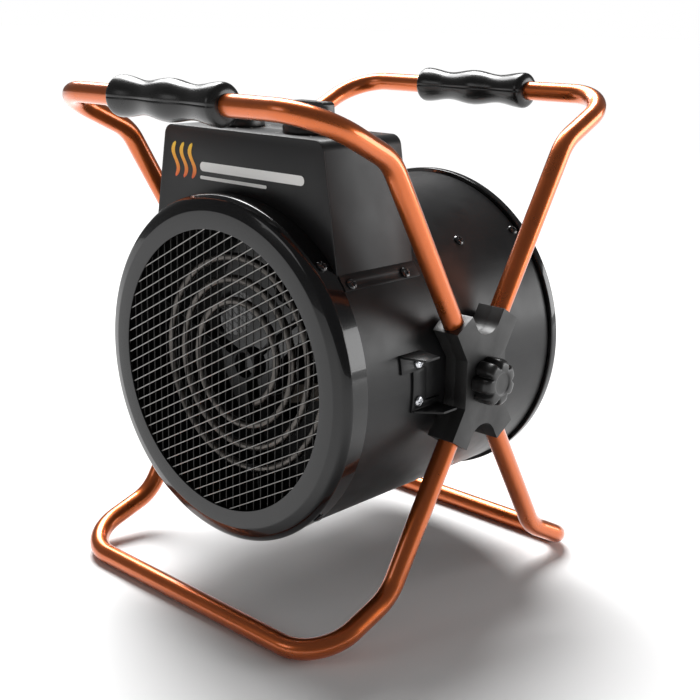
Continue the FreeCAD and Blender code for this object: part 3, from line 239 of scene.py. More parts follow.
class Finish:
    """A material under construction: a principled shader and the nodes that vary it."""

    def __init__(self, name, base, roughness, metallic=0.0):
        self.material = bpy.data.materials.new(name)
        self.material.use_nodes = True
        self.nodes = self.material.node_tree.nodes
        self.links = self.material.node_tree.links
        self.shader = self.nodes["Principled BSDF"]
        self.shader.inputs["Base Color"].default_value = base
        self.shader.inputs["Roughness"].default_value = roughness
        self.shader.inputs["Metallic"].default_value = metallic
        self.base = tuple(base)
        self.place = self.nodes.new("ShaderNodeTexCoord").outputs["Object"]
        self.height = None

    def coat(self, weight, roughness):
        self.shader.inputs["Coat Weight"].default_value = weight
        self.shader.inputs["Coat Roughness"].default_value = roughness
        return self

    def gleam(self, level):
        """Strength of the plain reflection, 0.5 for an ordinary paint."""
        self.shader.inputs["Specular IOR Level"].default_value = level
        return self

    def noise(self, scale, detail=3.0, rough=0.55):
        """Value of a noise whose features are about one over scale metres wide."""
        node = self.nodes.new("ShaderNodeTexNoise")
        node.inputs["Scale"].default_value = scale
        node.inputs["Detail"].default_value = detail
        node.inputs["Roughness"].default_value = rough
        self.links.new(self.place, node.inputs["Vector"])
        return node.outputs["Fac"]

    def ramp(self, value, low, high, start=0.3, end=0.7):
        """The value stretched from start..end to low..high."""
        node = self.nodes.new("ShaderNodeMapRange")
        for socket, number in zip(("From Min", "From Max", "To Min", "To Max"), (start, end, low, high)):
            node.inputs[socket].default_value = number
        self.links.new(value, node.inputs["Value"])
        return node.outputs["Result"]

    def mixed(self, share, other):
        """Blend the base colour towards another colour by a share."""
        node = self.nodes.new("ShaderNodeMix")
        node.data_type = "RGBA"
        current = self.shader.inputs["Base Color"]
        if current.is_linked:
            self.links.new(current.links[0].from_socket, node.inputs["A"])
        else:
            node.inputs["A"].default_value = self.base
        node.inputs["B"].default_value = other
        self.links.new(share, node.inputs["Factor"])
        self.links.new(node.outputs["Result"], current)
        return self

    def vary_roughness(self, scale, low, high):
        value = self.ramp(self.noise(scale, 4.0), low, high)
        self.links.new(value, self.shader.inputs["Roughness"])
        return self

    def bump(self, value, distance, strength=1.0):
        """Add a relief of the given depth in metres on top of what is there."""
        node = self.nodes.new("ShaderNodeBump")
        node.inputs["Distance"].default_value = distance
        node.inputs["Strength"].default_value = strength
        self.links.new(value, node.inputs["Height"])
        if self.height is not None:
            self.links.new(self.height, node.inputs["Normal"])
        self.height = node.outputs["Normal"]
        self.links.new(self.height, self.shader.inputs["Normal"])
        return self

    def worn_edges(self, other, start=0.53, end=0.60, most=0.6):
        """Lighten the sharpest convex edges, broken up by a noise."""
        geometry = self.nodes.new("ShaderNodeNewGeometry")
        edge = self.ramp(geometry.outputs["Pointiness"], 0.0, most, start, end)
        product = self.nodes.new("ShaderNodeMath")
        product.operation = "MULTIPLY"
        self.links.new(edge, product.inputs[0])
        self.links.new(self.ramp(self.noise(160.0), 0.0, 1.0, 0.42, 0.6), product.inputs[1])
        return self.mixed(product.outputs[0], other)


def lighter(base, factor):
    return tuple(min(value * factor, 1.0) for value in base[:3]) + (1.0,)


def enamel(name, base, roughness, peel, metallic=0.0, coat=1.0, coat_roughness=0.04):
    """Sprayed enamel: a clear coat over the colour, a slight orange peel and faint dust."""
    finish = Finish(name, base, roughness, metallic).coat(coat, coat_roughness).gleam(0.2)
    finish.mixed(finish.ramp(finish.noise(14.0, 4.0), 0.0, 0.35), lighter(base, 1.35))
    finish.vary_roughness(38.0, roughness * 0.85, roughness * 1.2)
    finish.bump(finish.noise(420.0, 2.0), peel)
    return finish


def powder(name, base, roughness, grain):
    """Powder coat: an even satin skin with a fine pebbled relief and soft cloudy wear."""
    finish = Finish(name, base, roughness).gleam(0.3)
    finish.mixed(finish.ramp(finish.noise(22.0, 5.0), 0.0, 0.5), lighter(base, 1.3))
    finish.vary_roughness(30.0, roughness * 0.88, roughness * 1.15)
    finish.bump(finish.noise(1500.0, 2.0), grain).bump(finish.noise(300.0, 2.0), grain * 0.6)
    return finish


def moulding(name, base, roughness, grain, wear=1.8):
    """Moulded plastic: fine spark texture, slightly polished and paler where hands rub it."""
    finish = Finish(name, base, roughness)
    finish.mixed(finish.ramp(finish.noise(45.0, 4.0), 0.0, 0.4), lighter(base, 1.4))
    finish.vary_roughness(60.0, roughness * 0.85, roughness * 1.2)
    finish.bump(finish.noise(1900.0, 2.0), grain)
    return finish.worn_edges(lighter(base, wear * 1.6))


def bare_metal(name, base, roughness, grain, stretch=(1.0, 1.0, 1.0)):
    """Plain or plated metal with drawn grain along one axis and a faint tarnish."""
    finish = Finish(name, base, roughness, 1.0)
    mapping = finish.nodes.new("ShaderNodeMapping")
    mapping.inputs["Scale"].default_value = stretch
    finish.links.new(finish.place, mapping.inputs["Vector"])
    finish.place = mapping.outputs["Vector"]
    finish.mixed(finish.ramp(finish.noise(70.0, 5.0), 0.0, 0.6), tuple(v * 0.62 for v in base[:3]) + (1.0,))
    finish.vary_roughness(110.0, roughness * 0.75, roughness * 1.35)
    finish.bump(finish.noise(900.0, 3.0), grain)
    return finish


def copper_enamel(base):
    """Metallic copper enamel: coloured flake under a clear coat."""
    finish = enamel("copper_enamel", base, 0.30, 0.000012, metallic=0.88, coat=0.75, coat_roughness=0.05)
    flake = finish.nodes.new("ShaderNodeTexVoronoi")
    flake.inputs["Scale"].default_value = 2600.0
    finish.links.new(finish.place, flake.inputs["Vector"])
    finish.mixed(finish.ramp(flake.outputs["Distance"], 0.0, 0.22, 0.2, 0.7), lighter(base, 0.6))
    finish.bump(flake.outputs["Distance"], 0.000006)
    return finish


def heat_ink(low, high, bottom, top):
    """Ink that turns from the low colour to the high one between two heights."""
    finish = Finish("heat_ink", low, 0.38)
    split = finish.nodes.new("ShaderNodeSeparateXYZ")
    finish.links.new(finish.place, split.inputs["Vector"])
    finish.mixed(finish.ramp(split.outputs["Z"], 0.0, 1.0, bottom, top), high)
    finish.vary_roughness(260.0, 0.32, 0.48)
    finish.bump(finish.noise(2400.0), 0.000008)
    return finish


FINISHES = {}


def mix_finishes(tones):
    """Every finish of the heater, by name."""
    made = {
        "copper": copper_enamel(tones.copper),
        "gloss": enamel("gloss_black_enamel", tones.gloss_black, 0.16, 0.000010, coat=0.5),
        "satin": powder("satin_black_powder", tones.satin_black, 0.36, 0.000012),
        "box": powder("box_black_powder", lighter(tones.satin_black, 1.15), 0.40, 0.000016),
        "hub": moulding("hub_plastic", tones.plastic_black, 0.46, 0.000020),
        "grip": moulding("grip_plastic", lighter(tones.plastic_black, 0.6), 0.24, 0.000008),
        "dial": moulding("dial_plastic", lighter(tones.plastic_black, 0.8), 0.34, 0.000010),
        "wire": bare_metal("guard_wire", tones.bright_wire, 0.30, 0.000006),
        "sheath": bare_metal("element_sheath", tones.sheath, 0.34, 0.000010),
        # painted shade: the steel inner liner and motor mount are coloured near black, a twentieth of the
        # wire colour, to stand in for the shade inside the drum
        "sheet": bare_metal("inner_sheet_painted_shade", lighter(tones.bright_wire, 0.05), 0.5, 0.000008, (1.0, 0.1, 1.0)),
        # painted shade: the fan and the element carrier are coloured near black to stand in for the shade
        # inside the drum
        "fan": powder("fan_painted_shade", lighter(tones.satin_black, 0.5), 0.55, 0.000012),
        # painted shade: the same guard wire colour at an eighth of its brightness, so the upright wires and
        # rim rings read darker than the slanted wires
        "painted_shade_wire": bare_metal("guard_wire_painted_shade", lighter(tones.bright_wire, 0.12), 0.42, 0.000006),
        "zinc": bare_metal("zinc_plate", tones.zinc, 0.26, 0.000006),
        "screw": enamel("screw_black", lighter(tones.gloss_black, 1.6), 0.22, 0.000006),
        "motor": powder("motor_paint", lighter(tones.satin_black, 2.4), 0.5, 0.000020),
        # the terminal strip's board: its own brown, darkened further as painted shade for the inside of the
        # drum
        "board": moulding("insulating_board_painted_shade", (0.050, 0.040, 0.030, 1.0), 0.7, 0.00003, 1.1),
        # painted shade: the pale ceramic of the bushes and the thermal cutout is coloured dark grey to stand
        # in for the shade inside the drum
        "ceramic": moulding("ceramic", (0.16, 0.15, 0.135, 1.0), 0.55, 0.00002, 1.05),
        "ink": Finish("white_ink", tones.white_ink, 0.42).vary_roughness(240.0, 0.36, 0.5),
    }
    made["ink"].bump(made["ink"].noise(2400.0), 0.000008)
    FINISHES.update({name: finish.material for name, finish in made.items()})


# ------------------------------------------------------------------ operators

class HeaterOperator(bpy.types.Operator):
    """Shared parts of the operators that make a piece or a group of like pieces"""
    bl_options = {"REGISTER", "UNDO"}

    def execute(self, context):
        self.build(context.scene.heater_sizes, context.scene.heater_colours)
        return {"FINISHED"}


class HEATER_OT_finishes(HeaterOperator):
    """Mix every finish and put it on the CAD nodes that stay as they are"""
    bl_idname = "heater.finishes"
    bl_label = "Finishes"

    plain = {
        "copper": ("front_handle_tube", "rear_handle_tube", "front_leg_tube", "rear_leg_tube"),
        "satin": ("drum_shell",),
        "gloss": ("front_collar",),
        "hub": ("pivot_washer_left", "pivot_washer_right", "mode_switch", "thermostat", "terminal_block"),
        # the inner liner and motor mount take the near-black painted-shade sheet finish
        "sheet": ("inner_liner", "motor_mount"),
        # the fan and element carrier take the near-black painted-shade finish
        "fan": ("fan", "element_carrier"),
        "zinc": ("motor_shaft", "thermostat_spindle", "mode_spindle", "hub_screws_left", "hub_screws_right",
                 "grip_screws"),
        "sheath": ("heating_element",),
        "screw": ("element_clamp", "pivot_stud_left", "pivot_stud_right"),
        "motor": ("motor",),
        # the terminal strip takes the darkened board finish, partly painted shade
        "board": ("terminal_strip",),
        # the ceramic finish on these parts is dark grey painted shade, not the ceramic's own pale colour
        "ceramic": ("ceramic_bushes", "thermal_cutout"),
    }

    def build(self, sizes, tones):
        mix_finishes(tones)
        for finish, nodes in self.plain.items():
            for node in nodes:
                coat_node(node, FINISHES[finish])


class HEATER_OT_grips(HeaterOperator):
    """The two handle grips, turned with waists, a parting line and screw wells"""
    bl_idname = "heater.grips"
    bl_label = "Grips"

    def grip(self, end, sizes):
        """Radius at x and turn t: full at the ends and middle, a cosine wave down to the waists, a
        quarter round at each end, less a narrow bell-shaped groove at the parting line."""
        low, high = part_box(end + "_grip_upper")
        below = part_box(end + "_grip_lower")[0]
        centre = np.array([(low.x + high.x) / 2, (low.y + high.y) / 2, low.z])
        half = (high.x - low.x) / 2
        full = (high.y - low.y) / 2
        waist = full * 0.80
        bore = 0.0082
        soft = 0.0052
        along = np.linspace(-1, 1, 97)
        wave = 0.5 + 0.5 * np.cos(WHOLE_TURN * np.abs(along) / 0.92)
        radius = waist + (full - waist) * wave
        reach = half - np.abs(along * half)
        drop = np.where(reach < soft, soft - np.sqrt(np.maximum(soft ** 2 - (soft - reach) ** 2, 0)), 0)
        radius = radius - drop
        inset = half - END_STEP
        x = np.concatenate([[-inset, -inset, -half], along * half, [half, inset, inset]])
        rim = full - soft - 0.0012
        end_face = [bore, bore + 0.0022, rim - END_STEP]
        radius = np.concatenate([end_face, radius, end_face[::-1]])
        turn = np.linspace(0, WHOLE_TURN, 96, endpoint=False)
        groove = np.exp(-(np.abs(np.sin(turn)) * full / 0.00035) ** 2) * sizes.grip_seam
        body = (radius > bore + 0.0035)[:, None]
        spread = radius[:, None] - np.where(body, groove[None], 0)
        grid = np.stack([x[:, None] + 0 * turn, spread * np.cos(turn), spread * np.sin(turn)], -1) + centre
        grid[..., 2] = np.maximum(grid[..., 2], below.z)
        name = end + "_grip"
        nodes = (end + "_grip_upper", end + "_grip_lower")
        stand_for(surface(name, [grid], loop_rows=True), "stand", "grip_plastic", FINISHES["grip"], *nodes)

    def build(self, sizes, tones):
        for end in ("front", "rear"):
            self.grip(end, sizes)


class HEATER_OT_hubs(HeaterOperator):
    """The X-shaped hubs, with rounded edges"""
    bl_idname = "heater.hubs"
    bl_label = "Hubs"

    def build(self, sizes, tones):
        for side in SIDES:
            widths = (("hub_outer_", sizes.edge_soft * 1.6), ("hub_inner_", sizes.edge_soft * 0.5))
            for part, width in widths:
                piece = softened(part + side, width, 4)
                stand_for(piece, "stand", "hub_plastic", FINISHES["hub"], part + side)


class HEATER_OT_star_knobs(HeaterOperator):
    """The lobed clamp knobs at the tilt axis"""
    bl_idname = "heater.star_knobs"
    bl_label = "Star knobs"

    def build(self, sizes, tones):
        """Radius at turn t: the rim less a narrow bell-shaped flute seven times round, the first
        towards +Y; the flutes fade towards a cap with a rounded rim and a dished middle."""
        for side, sign in (("left", -1), ("right", 1)):
            low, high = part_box("star_knob_" + side)
            near, far = (low.x, high.x) if sign > 0 else (high.x, low.x)
            rim = (high.z - low.z) / 2
            turn = np.linspace(0, WHOLE_TURN, 252, endpoint=False)
            share = ((turn / WHOLE_TURN - 0.25) * 7 + 0.5) % 1 - 0.5
            flute = np.exp(-(share / 0.15) ** 2)
            section = np.array([[0.0, 0.0], [0.93, 0.0], [0.985, 0.03], [1.0, 0.10], [1.0, 0.60],
                                [0.985, 0.74], [0.94, 0.86], [0.86, 0.945], [0.76, 0.985], [0.62, 1.0],
                                [0.52, 1.0], [0.48, 0.985], [0.45, 0.955], [0.40, 0.945], [0.2, 0.95],
                                [0.0, 0.955]])
            depth = 0.22 * np.clip((section[:, 0] - 0.55) / 0.4, 0, 1)
            radius = rim * (section[:, :1] - depth[:, None] * flute[None])
            x = near + (far - near) * section[:, 1:] + 0 * turn
            grid = np.stack([x, AXLE.y + radius * np.sin(turn), AXLE.z + radius * np.cos(turn)], -1)
            piece = surface("star_knob_" + side + "_lobed", [grid], crease=50.0)
            stand_for(piece, "clamp_" + side, "hub_plastic", FINISHES["dial"], "star_knob_" + side)


class HEATER_OT_drum(HeaterOperator):
    """The gloss bezel and the rear ring, each one smooth turned sheet"""
    bl_idname = "heater.drum"
    bl_label = "Bezel and rear ring"

    def build(self, sizes, tones):
        sheet = sizes.bezel_sheet
        low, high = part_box("front_bezel")
        shell = (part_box("drum_shell")[1].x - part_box("drum_shell")[0].x) / 2
        opening = (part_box("front_guard")[1].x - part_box("front_guard")[0].x) / 2 - 0.0076
        rim = (high.x - low.x) / 2
        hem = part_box("front_collar")[0].y
        skirt = shell - 0.00005
        corners = [(opening, low.y), (rim - 0.0122, low.y), (rim - 0.0036, low.y + 0.0022),
                   (rim, low.y + 0.0066), (rim, hem - 0.00005), (skirt, hem - 0.00005), (skirt, high.y),
                   (skirt - sheet, high.y), (skirt - sheet, hem - sheet), (rim - sheet, hem - sheet),
                   (rim - sheet, low.y + 0.0069), (rim - 0.0042, low.y + 0.0031),
                   (rim - 0.0125, low.y + sheet), (opening, low.y + sheet)]
        radii = [0.00045, 0.0060, 0.0070, 0.0040, 0.0004, 0.0001, 0.0003, 0.0003,
                 0.0001, 0.0003, 0.0022, 0.0060, 0.0052, 0.00045]
        bezel = surface("bezel", [lathe(eased(corners, radii), 192)], loop_rows=True)
        stand_for(bezel, "drum", "gloss_paint", FINISHES["gloss"], "front_bezel")

        low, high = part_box("rear_ring")
        rim = (high.x - low.x) / 2
        opening = (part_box("rear_guard")[1].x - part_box("rear_guard")[0].x) / 2 - 0.0076
        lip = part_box("drum_shell")[1].y + 0.0012
        skirt = shell - 0.0010
        corners = [(skirt, low.y), (skirt, lip), (rim, lip), (rim, high.y), (opening, high.y),
                   (opening, high.y - sheet), (rim - sheet, high.y - sheet), (rim - sheet, lip + sheet),
                   (skirt - sheet, lip + sheet), (skirt - sheet, low.y)]
        radii = [0.0003, 0.0002, 0.0012, 0.0022, 0.0004, 0.0004, 0.0014, 0.0005, 0.0004, 0.0003]
        ring = surface("rear_ring_turned", [lathe(eased(corners, radii), 192)], loop_rows=True)
        stand_for(ring, "drum", "gloss_paint", FINISHES["gloss"], "rear_ring")


class HEATER_OT_guards(HeaterOperator):
    """The wire guards: a slanted layer, an upright layer and a rim ring each"""
    bl_idname = "heater.guards"
    bl_label = "Guards"

    def layer(self, y, radius, reach, count, pitch, angle):
        """Grids of straight wires at one angle: wire n lies n pitches across from the axis and is as
        long as the chord of the reach there."""
        along = np.array([math.cos(angle), 0, math.sin(angle)])
        across = np.array([-math.sin(angle), 0, math.cos(angle)])
        ahead = np.array([0, 1.0, 0])
        offset = np.arange(-count, count + 1) * pitch
        half = np.sqrt(reach ** 2 - offset ** 2)
        turn = np.linspace(0, WHOLE_TURN, 12, endpoint=False)
        ring = radius * (np.cos(turn)[:, None] * across + np.sin(turn)[:, None] * ahead)
        middle = np.array([AXLE.x, y, AXLE.z]) + offset[:, None] * across
        ends = middle[:, None] + np.stack([-half, half], 1)[..., None] * along
        return list(ends[:, :, None] + ring)

    def build(self, sizes, tones):
        for node, inward in (("front_guard", 1), ("rear_guard", -1)):
            low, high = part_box(node)
            wire = (high.y - low.y) / 3
            face = low.y if inward > 0 else high.y
            rim = (high.x - low.x) / 2
            opening = rim - 0.0076
            count = int(opening / sizes.wire_pitch)
            # the slanted wires keep the plain wire colour; the upright wires take its painted-shade copy,
            # which stands in for the shade they fall in
            layers = (("_slanted", 0.5, sizes.wire_slant, "wire"),
                      ("_upright", 1.5, math.pi / 2, "painted_shade_wire"))
            for ending, place, angle, finish in layers:
                y = face + inward * place * wire
                grids = self.layer(y, wire / 2, rim - 0.003, count, sizes.wire_pitch, angle)
                piece = surface(node + ending, grids, crease=60.0)
                stand_for(piece, "drum", "guard_wire", FINISHES[finish])
            back, front = face + inward * 3 * wire, face + inward * 2 * wire
            corners = [(opening + 0.0024, front), (rim, front), (rim, back), (opening + 0.0024, back)]
            ring = surface(node + "_rim", [lathe(eased(corners, 0.0002, 3), 128)], loop_rows=True)
            # the rim ring also takes the painted-shade copy of the wire colour
            stand_for(ring, "drum", "guard_wire", FINISHES["painted_shade_wire"], node)


class HEATER_OT_control_box(HeaterOperator):
    """The control box, its front plate, the cord gland and the tilt stops, with folded edges"""
    bl_idname = "heater.control_box"
    bl_label = "Control box and brackets"

    def build(self, sizes, tones):
        fold = sizes.fold_soft
        jobs = [("control_box", "box_paint", "box", fold * 0.5),
                ("control_box_front", "box_paint", "box", fold * 0.55),
                ("cord_gland", "hub_plastic", "hub", fold * 0.6)]
        jobs += [("tilt_stop_" + side, "bracket_paint", "satin", fold * 0.5) for side in SIDES]
        for node, slot_name, finish, width in jobs:
            stand_for(softened(node, width, 2), "drum", slot_name, FINISHES[finish], node)


class HEATER_OT_dials(HeaterOperator):
    """The two control knobs with their pointers, and the printed scales under them"""
    bl_idname = "heater.dials"
    bl_label = "Dials"

    def pointer(self, low, high, sizes):
        """A thin bar of ink on the finger bar, from its middle to one end."""
        middle = (low + high) / 2
        start, end, half = middle.x + 0.006, high.x - 0.0042, 0.0008
        outline = eased([(start, middle.y - half), (end, middle.y - half),
                         (end, middle.y + half), (start, middle.y + half)], 0.0007, 5)
        return flat_mark(outline, high.z - 0.00004, sizes.ink)

    def scale(self, low, high, top, marks, sizes):
        """Short strokes round a dial, evenly spaced over three quarters of a turn."""
        middle = (low + high) / 2
        grids = []
        for share in np.linspace(0, 1, marks):
            way = math.radians(-45 + 270 * share)
            out = np.array([math.cos(way), math.sin(way)])
            side = np.array([-out[1], out[0]])
            inner = (high.x - low.x) / 2 + 0.0022
            corner = [out * inner - side * 0.0004, out * (inner + sizes.tick) - side * 0.0004,
                      out * (inner + sizes.tick) + side * 0.0004, out * inner + side * 0.0004]
            outline = eased(np.array(corner) + [middle.x, middle.y], 0.00025, 3)
            grids.append(flat_mark(outline, top, sizes.ink))
        return grids

    def build(self, sizes, tones):
        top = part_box("control_box")[1].z
        for dial, marks in (("thermostat", 11), ("mode", 5)):
            node = dial + "_knob"
            low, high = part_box(node)
            knob = softened(node, sizes.edge_soft * 0.6, 3, 40.0)
            stand_for(knob, dial + "_dial", "knob_plastic", FINISHES["dial"], node)
            pointer = surface(dial + "_pointer", [self.pointer(low, high, sizes)])
            stand_for(pointer, dial + "_dial", "knob_plastic", FINISHES["ink"])
            scale = surface(dial + "_scale", self.scale(low, high, top, marks, sizes))
            stand_for(scale, "drum", "box_paint", FINISHES["ink"])


def flat_mark(outline, level, thickness):
    """Grid of a level mark: the outline at its foot and again a thickness above."""
    foot = np.column_stack([outline, np.full(len(outline), level)])
    return np.stack([foot, foot + [0, 0, thickness]])


def upright_mark(outline, face, thickness):
    """Grid of a mark on the front plate: the (x, z) outline on the face and a thickness proud."""
    foot = np.column_stack([outline[:, 0], np.full(len(outline), face), outline[:, 1]])
    return np.stack([foot, foot - [0, thickness, 0]])


class HEATER_OT_emblem(HeaterOperator):
    """A plain printed mark on the front plate: three rising heat waves and two stripes"""
    bl_idname = "heater.emblem"
    bl_label = "Emblem"

    def wave(self, x, foot, tall, width):
        """A vertical ribbon whose middle swings as one sine period and whose ends are rounded."""
        share = np.linspace(0, 1, 25)
        middle = x + 0.0030 * np.sin(WHOLE_TURN * share)
        taper = np.sqrt(np.clip(1 - (2 * share - 1) ** 8, 0.02, 1))
        left = np.column_stack([middle - width / 2 * taper, foot + tall * share])
        right = np.column_stack([middle + width / 2 * taper, foot + tall * share])
        return np.concatenate([left, right[::-1]])

    def stripe(self, left, right, foot, tall):
        return eased([(left, foot), (right, foot), (right, foot + tall), (left, foot + tall)], tall * 0.49, 7)

    def build(self, sizes, tones):
        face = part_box("control_box_front")[0].y
        foot = AXLE.z + 0.1415
        waves = [upright_mark(self.wave(x, foot, 0.0275, 0.0042), face, sizes.ink)
                 for x in (-0.0745, -0.0645, -0.0545)]
        heat = heat_ink(tones.warm_low, tones.warm_high, foot, foot + 0.026).material
        stand_for(surface("heat_waves", waves), "drum", "box_paint", heat)
        stripes = [upright_mark(self.stripe(-0.0450, 0.0690, foot + 0.0070, 0.0072), face, sizes.ink),
                   upright_mark(self.stripe(-0.0450, 0.0300, foot + 0.0008, 0.0026), face, sizes.ink)]
        stand_for(surface("plate_stripes", stripes), "drum", "box_paint", FINISHES["ink"])


class HEATER_OT_screws(HeaterOperator):
    """Pan head screws with a cross recess, one object for each group"""
    bl_idname = "heater.screws"
    bl_label = "Screws"

    def places(self, node):
        """Tip and outward direction of each separate screw of a node."""
        bm = bmesh.new()
        bm.from_mesh(frame["nodes"][node].data)
        bmesh.ops.remove_doubles(bm, verts=bm.verts, dist=1e-6)
        waiting, found = set(bm.verts), []
        while waiting:
            island, edge = [], [waiting.pop()]
            while edge:
                vert = edge.pop()
                island.append(vert.co.copy())
                near = [link.other_vert(vert) for link in vert.link_edges]
                fresh = [other for other in near if other in waiting]
                waiting.difference_update(fresh)
                edge.extend(fresh)
            cloud = np.array(island)
            middle = (cloud.min(0) + cloud.max(0)) / 2
            out = np.array([middle[0] - AXLE.x, 0, middle[2] - AXLE.z])
            out /= np.linalg.norm(out)
            reach = ((cloud - [AXLE.x, 0, AXLE.z]) @ out).max()
            found.append((np.array([AXLE.x, middle[1], AXLE.z]) + out * reach, out))
        bm.free()
        return found

    def head(self, tip, out, sizes):
        """Height over radius r: a pan dome 1 - (r/R)^4 over a straight rim, less a cross whose
        arms are soft slots along two directions; below it a short shank."""
        rim = 0.0044
        share = np.concatenate([[0.0], np.linspace(0.03, 1, 26)])[:, None]
        turn = np.linspace(0, WHOLE_TURN, 48, endpoint=False)[None] + out[0] * 3.1
        r = share * rim
        dome = sizes.screw_head * (1 - 0.55 * share ** 4)
        u, v = r * np.cos(turn), r * np.sin(turn)
        arm = [np.exp(-(a / 0.00052) ** 6) * np.exp(-(b / 0.0023) ** 8) for a, b in ((u, v), (v, u))]
        top = dome - sizes.cross_depth * np.maximum(*arm)
        side = np.cross(out, [0, 1, 0])
        heading = np.cos(turn)[..., None] * np.array([0, 1.0, 0]) + np.sin(turn)[..., None] * side
        plane = r[..., None] * heading
        cap = tip + plane + (top - sizes.screw_head)[..., None] * out
        foot = cap[-1] + ((-sizes.screw_head - (top - sizes.screw_head)[-1])[..., None] * out)
        inward = tip + plane[-1] * 0.45 - sizes.screw_head * out
        end = inward - 0.004 * out
        return np.concatenate([cap, foot[None], inward[None], end[None]])

    def build(self, sizes, tones):
        groups = [("collar_screws", "screw", "black_screw"), ("rear_ring_screws", "screw", "black_screw"),
                  ("motor_mount_screws", "screw", "black_screw"),
                  ("control_box_screws", "screw", "black_screw")]
        groups += [("tilt_stop_screws_" + side, "zinc", "zinc_screw") for side in SIDES]
        for node, finish, slot_name in groups:
            grids = [self.head(tip, out, sizes) for tip, out in self.places(node)]
            crossed = surface(node + "_crossed", grids, crease=40.0)
            stand_for(crossed, "drum", slot_name, FINISHES[finish], node)


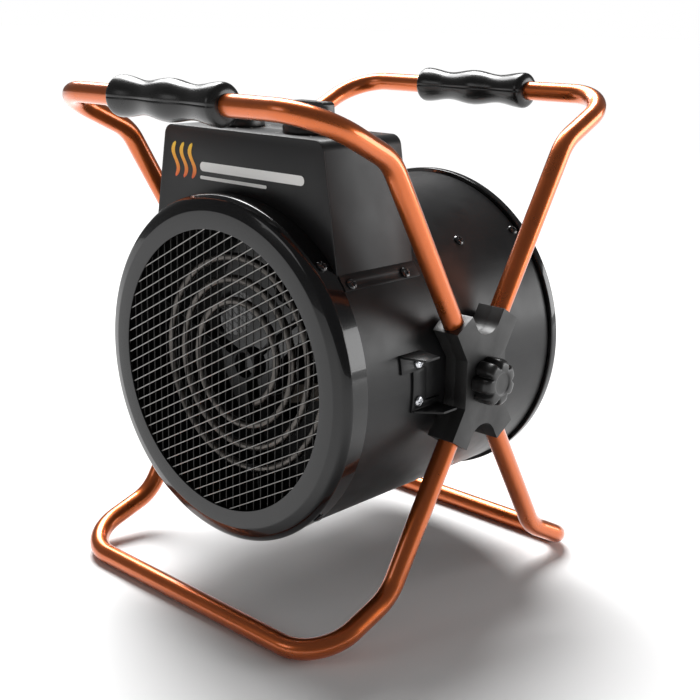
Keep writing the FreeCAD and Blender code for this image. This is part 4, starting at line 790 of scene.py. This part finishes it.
class HEATER_OT_stage(HeaterOperator):
    """Pale floor, soft studio lights and the camera"""
    bl_idname = "heater.stage"
    bl_label = "Stage"

    def soft_light(self, name, at, target, width, depth, power, tint=(1.0, 1.0, 1.0)):
        light = bpy.data.lights.new(name, "AREA")
        light.shape = "RECTANGLE"
        light.size, light.size_y = width, depth
        light.energy = power
        light.color = tint
        lamp = bpy.data.objects.new(name, light)
        lamp.location = at
        lamp.rotation_euler = (Vector(target) - Vector(at)).to_track_quat("-Z", "Y").to_euler()
        bpy.context.scene.collection.objects.link(lamp)

    def ceiling(self, name, towards, power, spread):
        """A broad even light from one direction, spread over an angle in degrees."""
        light = bpy.data.lights.new(name, "SUN")
        light.energy = power
        light.angle = math.radians(spread)
        lamp = bpy.data.objects.new(name, light)
        lamp.rotation_euler = (-Vector(towards)).to_track_quat("-Z", "Y").to_euler()
        bpy.context.scene.collection.objects.link(lamp)

    def build(self, sizes, tones):
        scene = bpy.context.scene
        side = 40.0
        mesh = bpy.data.meshes.new("studio_floor")
        corners = [(-side, -side, 0), (side, -side, 0), (side, side, 0), (-side, side, 0)]
        mesh.from_pydata(corners, [], [(0, 1, 2, 3)])
        floor = bpy.data.objects.new("studio_floor", mesh)
        scene.collection.objects.link(floor)
        paper = Finish("studio_paper", (0.90, 0.90, 0.90, 1.0), 0.8)
        paper.bump(paper.noise(90.0), 0.00001)
        mesh.materials.append(paper.material)

        world = bpy.data.worlds.new("studio")
        world.use_nodes = True
        nodes, links = world.node_tree.nodes, world.node_tree.links
        seen = nodes["Background"]
        seen.inputs["Color"].default_value = (1.0, 1.0, 1.0, 1.0)
        seen.inputs["Strength"].default_value = 1.0
        around = nodes.new("ShaderNodeBackground")
        around.inputs["Color"].default_value = (1.0, 1.0, 1.0, 1.0)
        around.inputs["Strength"].default_value = 0.13
        rays = nodes.new("ShaderNodeLightPath")
        choice = nodes.new("ShaderNodeMixShader")
        links.new(rays.outputs["Is Camera Ray"], choice.inputs["Fac"])
        links.new(around.outputs["Background"], choice.inputs[1])
        links.new(seen.outputs["Background"], choice.inputs[2])
        links.new(choice.outputs["Shader"], nodes["World Output"].inputs["Surface"])
        scene.world = world
        scene.view_settings.view_transform = "Standard"

        self.ceiling("ceiling_light", (-0.45, 0.35, 0.82), 3.75, 30.0)
        self.soft_light("key_softbox", (-1.3, 0.5, 1.6), (0.0, 0.0, 0.25), 0.8, 1.2, 24.0)
        self.soft_light("front_softbox", (-0.9, -2.2, 1.1), (0.0, 0.0, 0.2), 0.9, 0.6, 3.0)
        self.soft_light("back_softbox", (1.7, 1.8, 0.62), (0.0, 0.0, 0.25), 1.7, 0.9, 26.0)

        camera = bpy.data.cameras.new("camera")
        camera.sensor_width = 36.0
        camera.lens = 60.13
        yaw, pitch, roll = math.radians(42.5), math.radians(-15.7), math.radians(1.2)
        level = math.cos(pitch)
        forward = Vector((-math.sin(yaw) * level, math.cos(yaw) * level, math.sin(pitch)))
        right = forward.cross(Vector((0, 0, 1))).normalized()
        up = right.cross(forward)
        turned_right = right * math.cos(roll) + up * math.sin(roll)
        turned_up = -right * math.sin(roll) + up * math.cos(roll)
        view = Matrix((turned_right, turned_up, -forward)).transposed().to_4x4()
        eye = bpy.data.objects.new("camera", camera)
        eye.matrix_world = Matrix.Translation((0.6582, -0.7034, 0.4491)) @ view
        scene.collection.objects.link(eye)
        scene.camera = eye


class HEATER_PT_panel(bpy.types.Panel):
    """The heater's operators, in the order that they are run"""
    bl_label = "Fan Heater"
    bl_idname = "HEATER_PT_panel"
    bl_space_type = "VIEW_3D"
    bl_region_type = "UI"
    bl_category = "Heater"

    def draw(self, context):
        for operator in OPERATORS:
            self.layout.operator(operator.bl_idname)
        for group in (context.scene.heater_sizes, context.scene.heater_colours):
            for name in group.__annotations__:
                self.layout.prop(group, name)


OPERATORS = (HEATER_OT_finishes, HEATER_OT_grips, HEATER_OT_hubs, HEATER_OT_star_knobs, HEATER_OT_drum,
             HEATER_OT_guards, HEATER_OT_control_box, HEATER_OT_dials, HEATER_OT_emblem,
             HEATER_OT_screws, HEATER_OT_stage)
CLASSES = (HeaterSizes, HeaterColours) + OPERATORS + (HEATER_PT_panel,)


def register():
    for kind in CLASSES:
        bpy.utils.register_class(kind)
    bpy.types.Scene.heater_sizes = bpy.props.PointerProperty(type=HeaterSizes)
    bpy.types.Scene.heater_colours = bpy.props.PointerProperty(type=HeaterColours)


def unregister():
    del bpy.types.Scene.heater_sizes
    del bpy.types.Scene.heater_colours
    for kind in reversed(CLASSES):
        bpy.utils.unregister_class(kind)


def main():
    register()
    bpy.ops.heater.finishes()
    bpy.ops.heater.grips()
    bpy.ops.heater.hubs()
    bpy.ops.heater.star_knobs()
    bpy.ops.heater.drum()
    bpy.ops.heater.guards()
    bpy.ops.heater.control_box()
    bpy.ops.heater.dials()
    bpy.ops.heater.emblem()
    bpy.ops.heater.screws()
    bpy.ops.heater.stage()


if __name__ == "__main__":
    main()
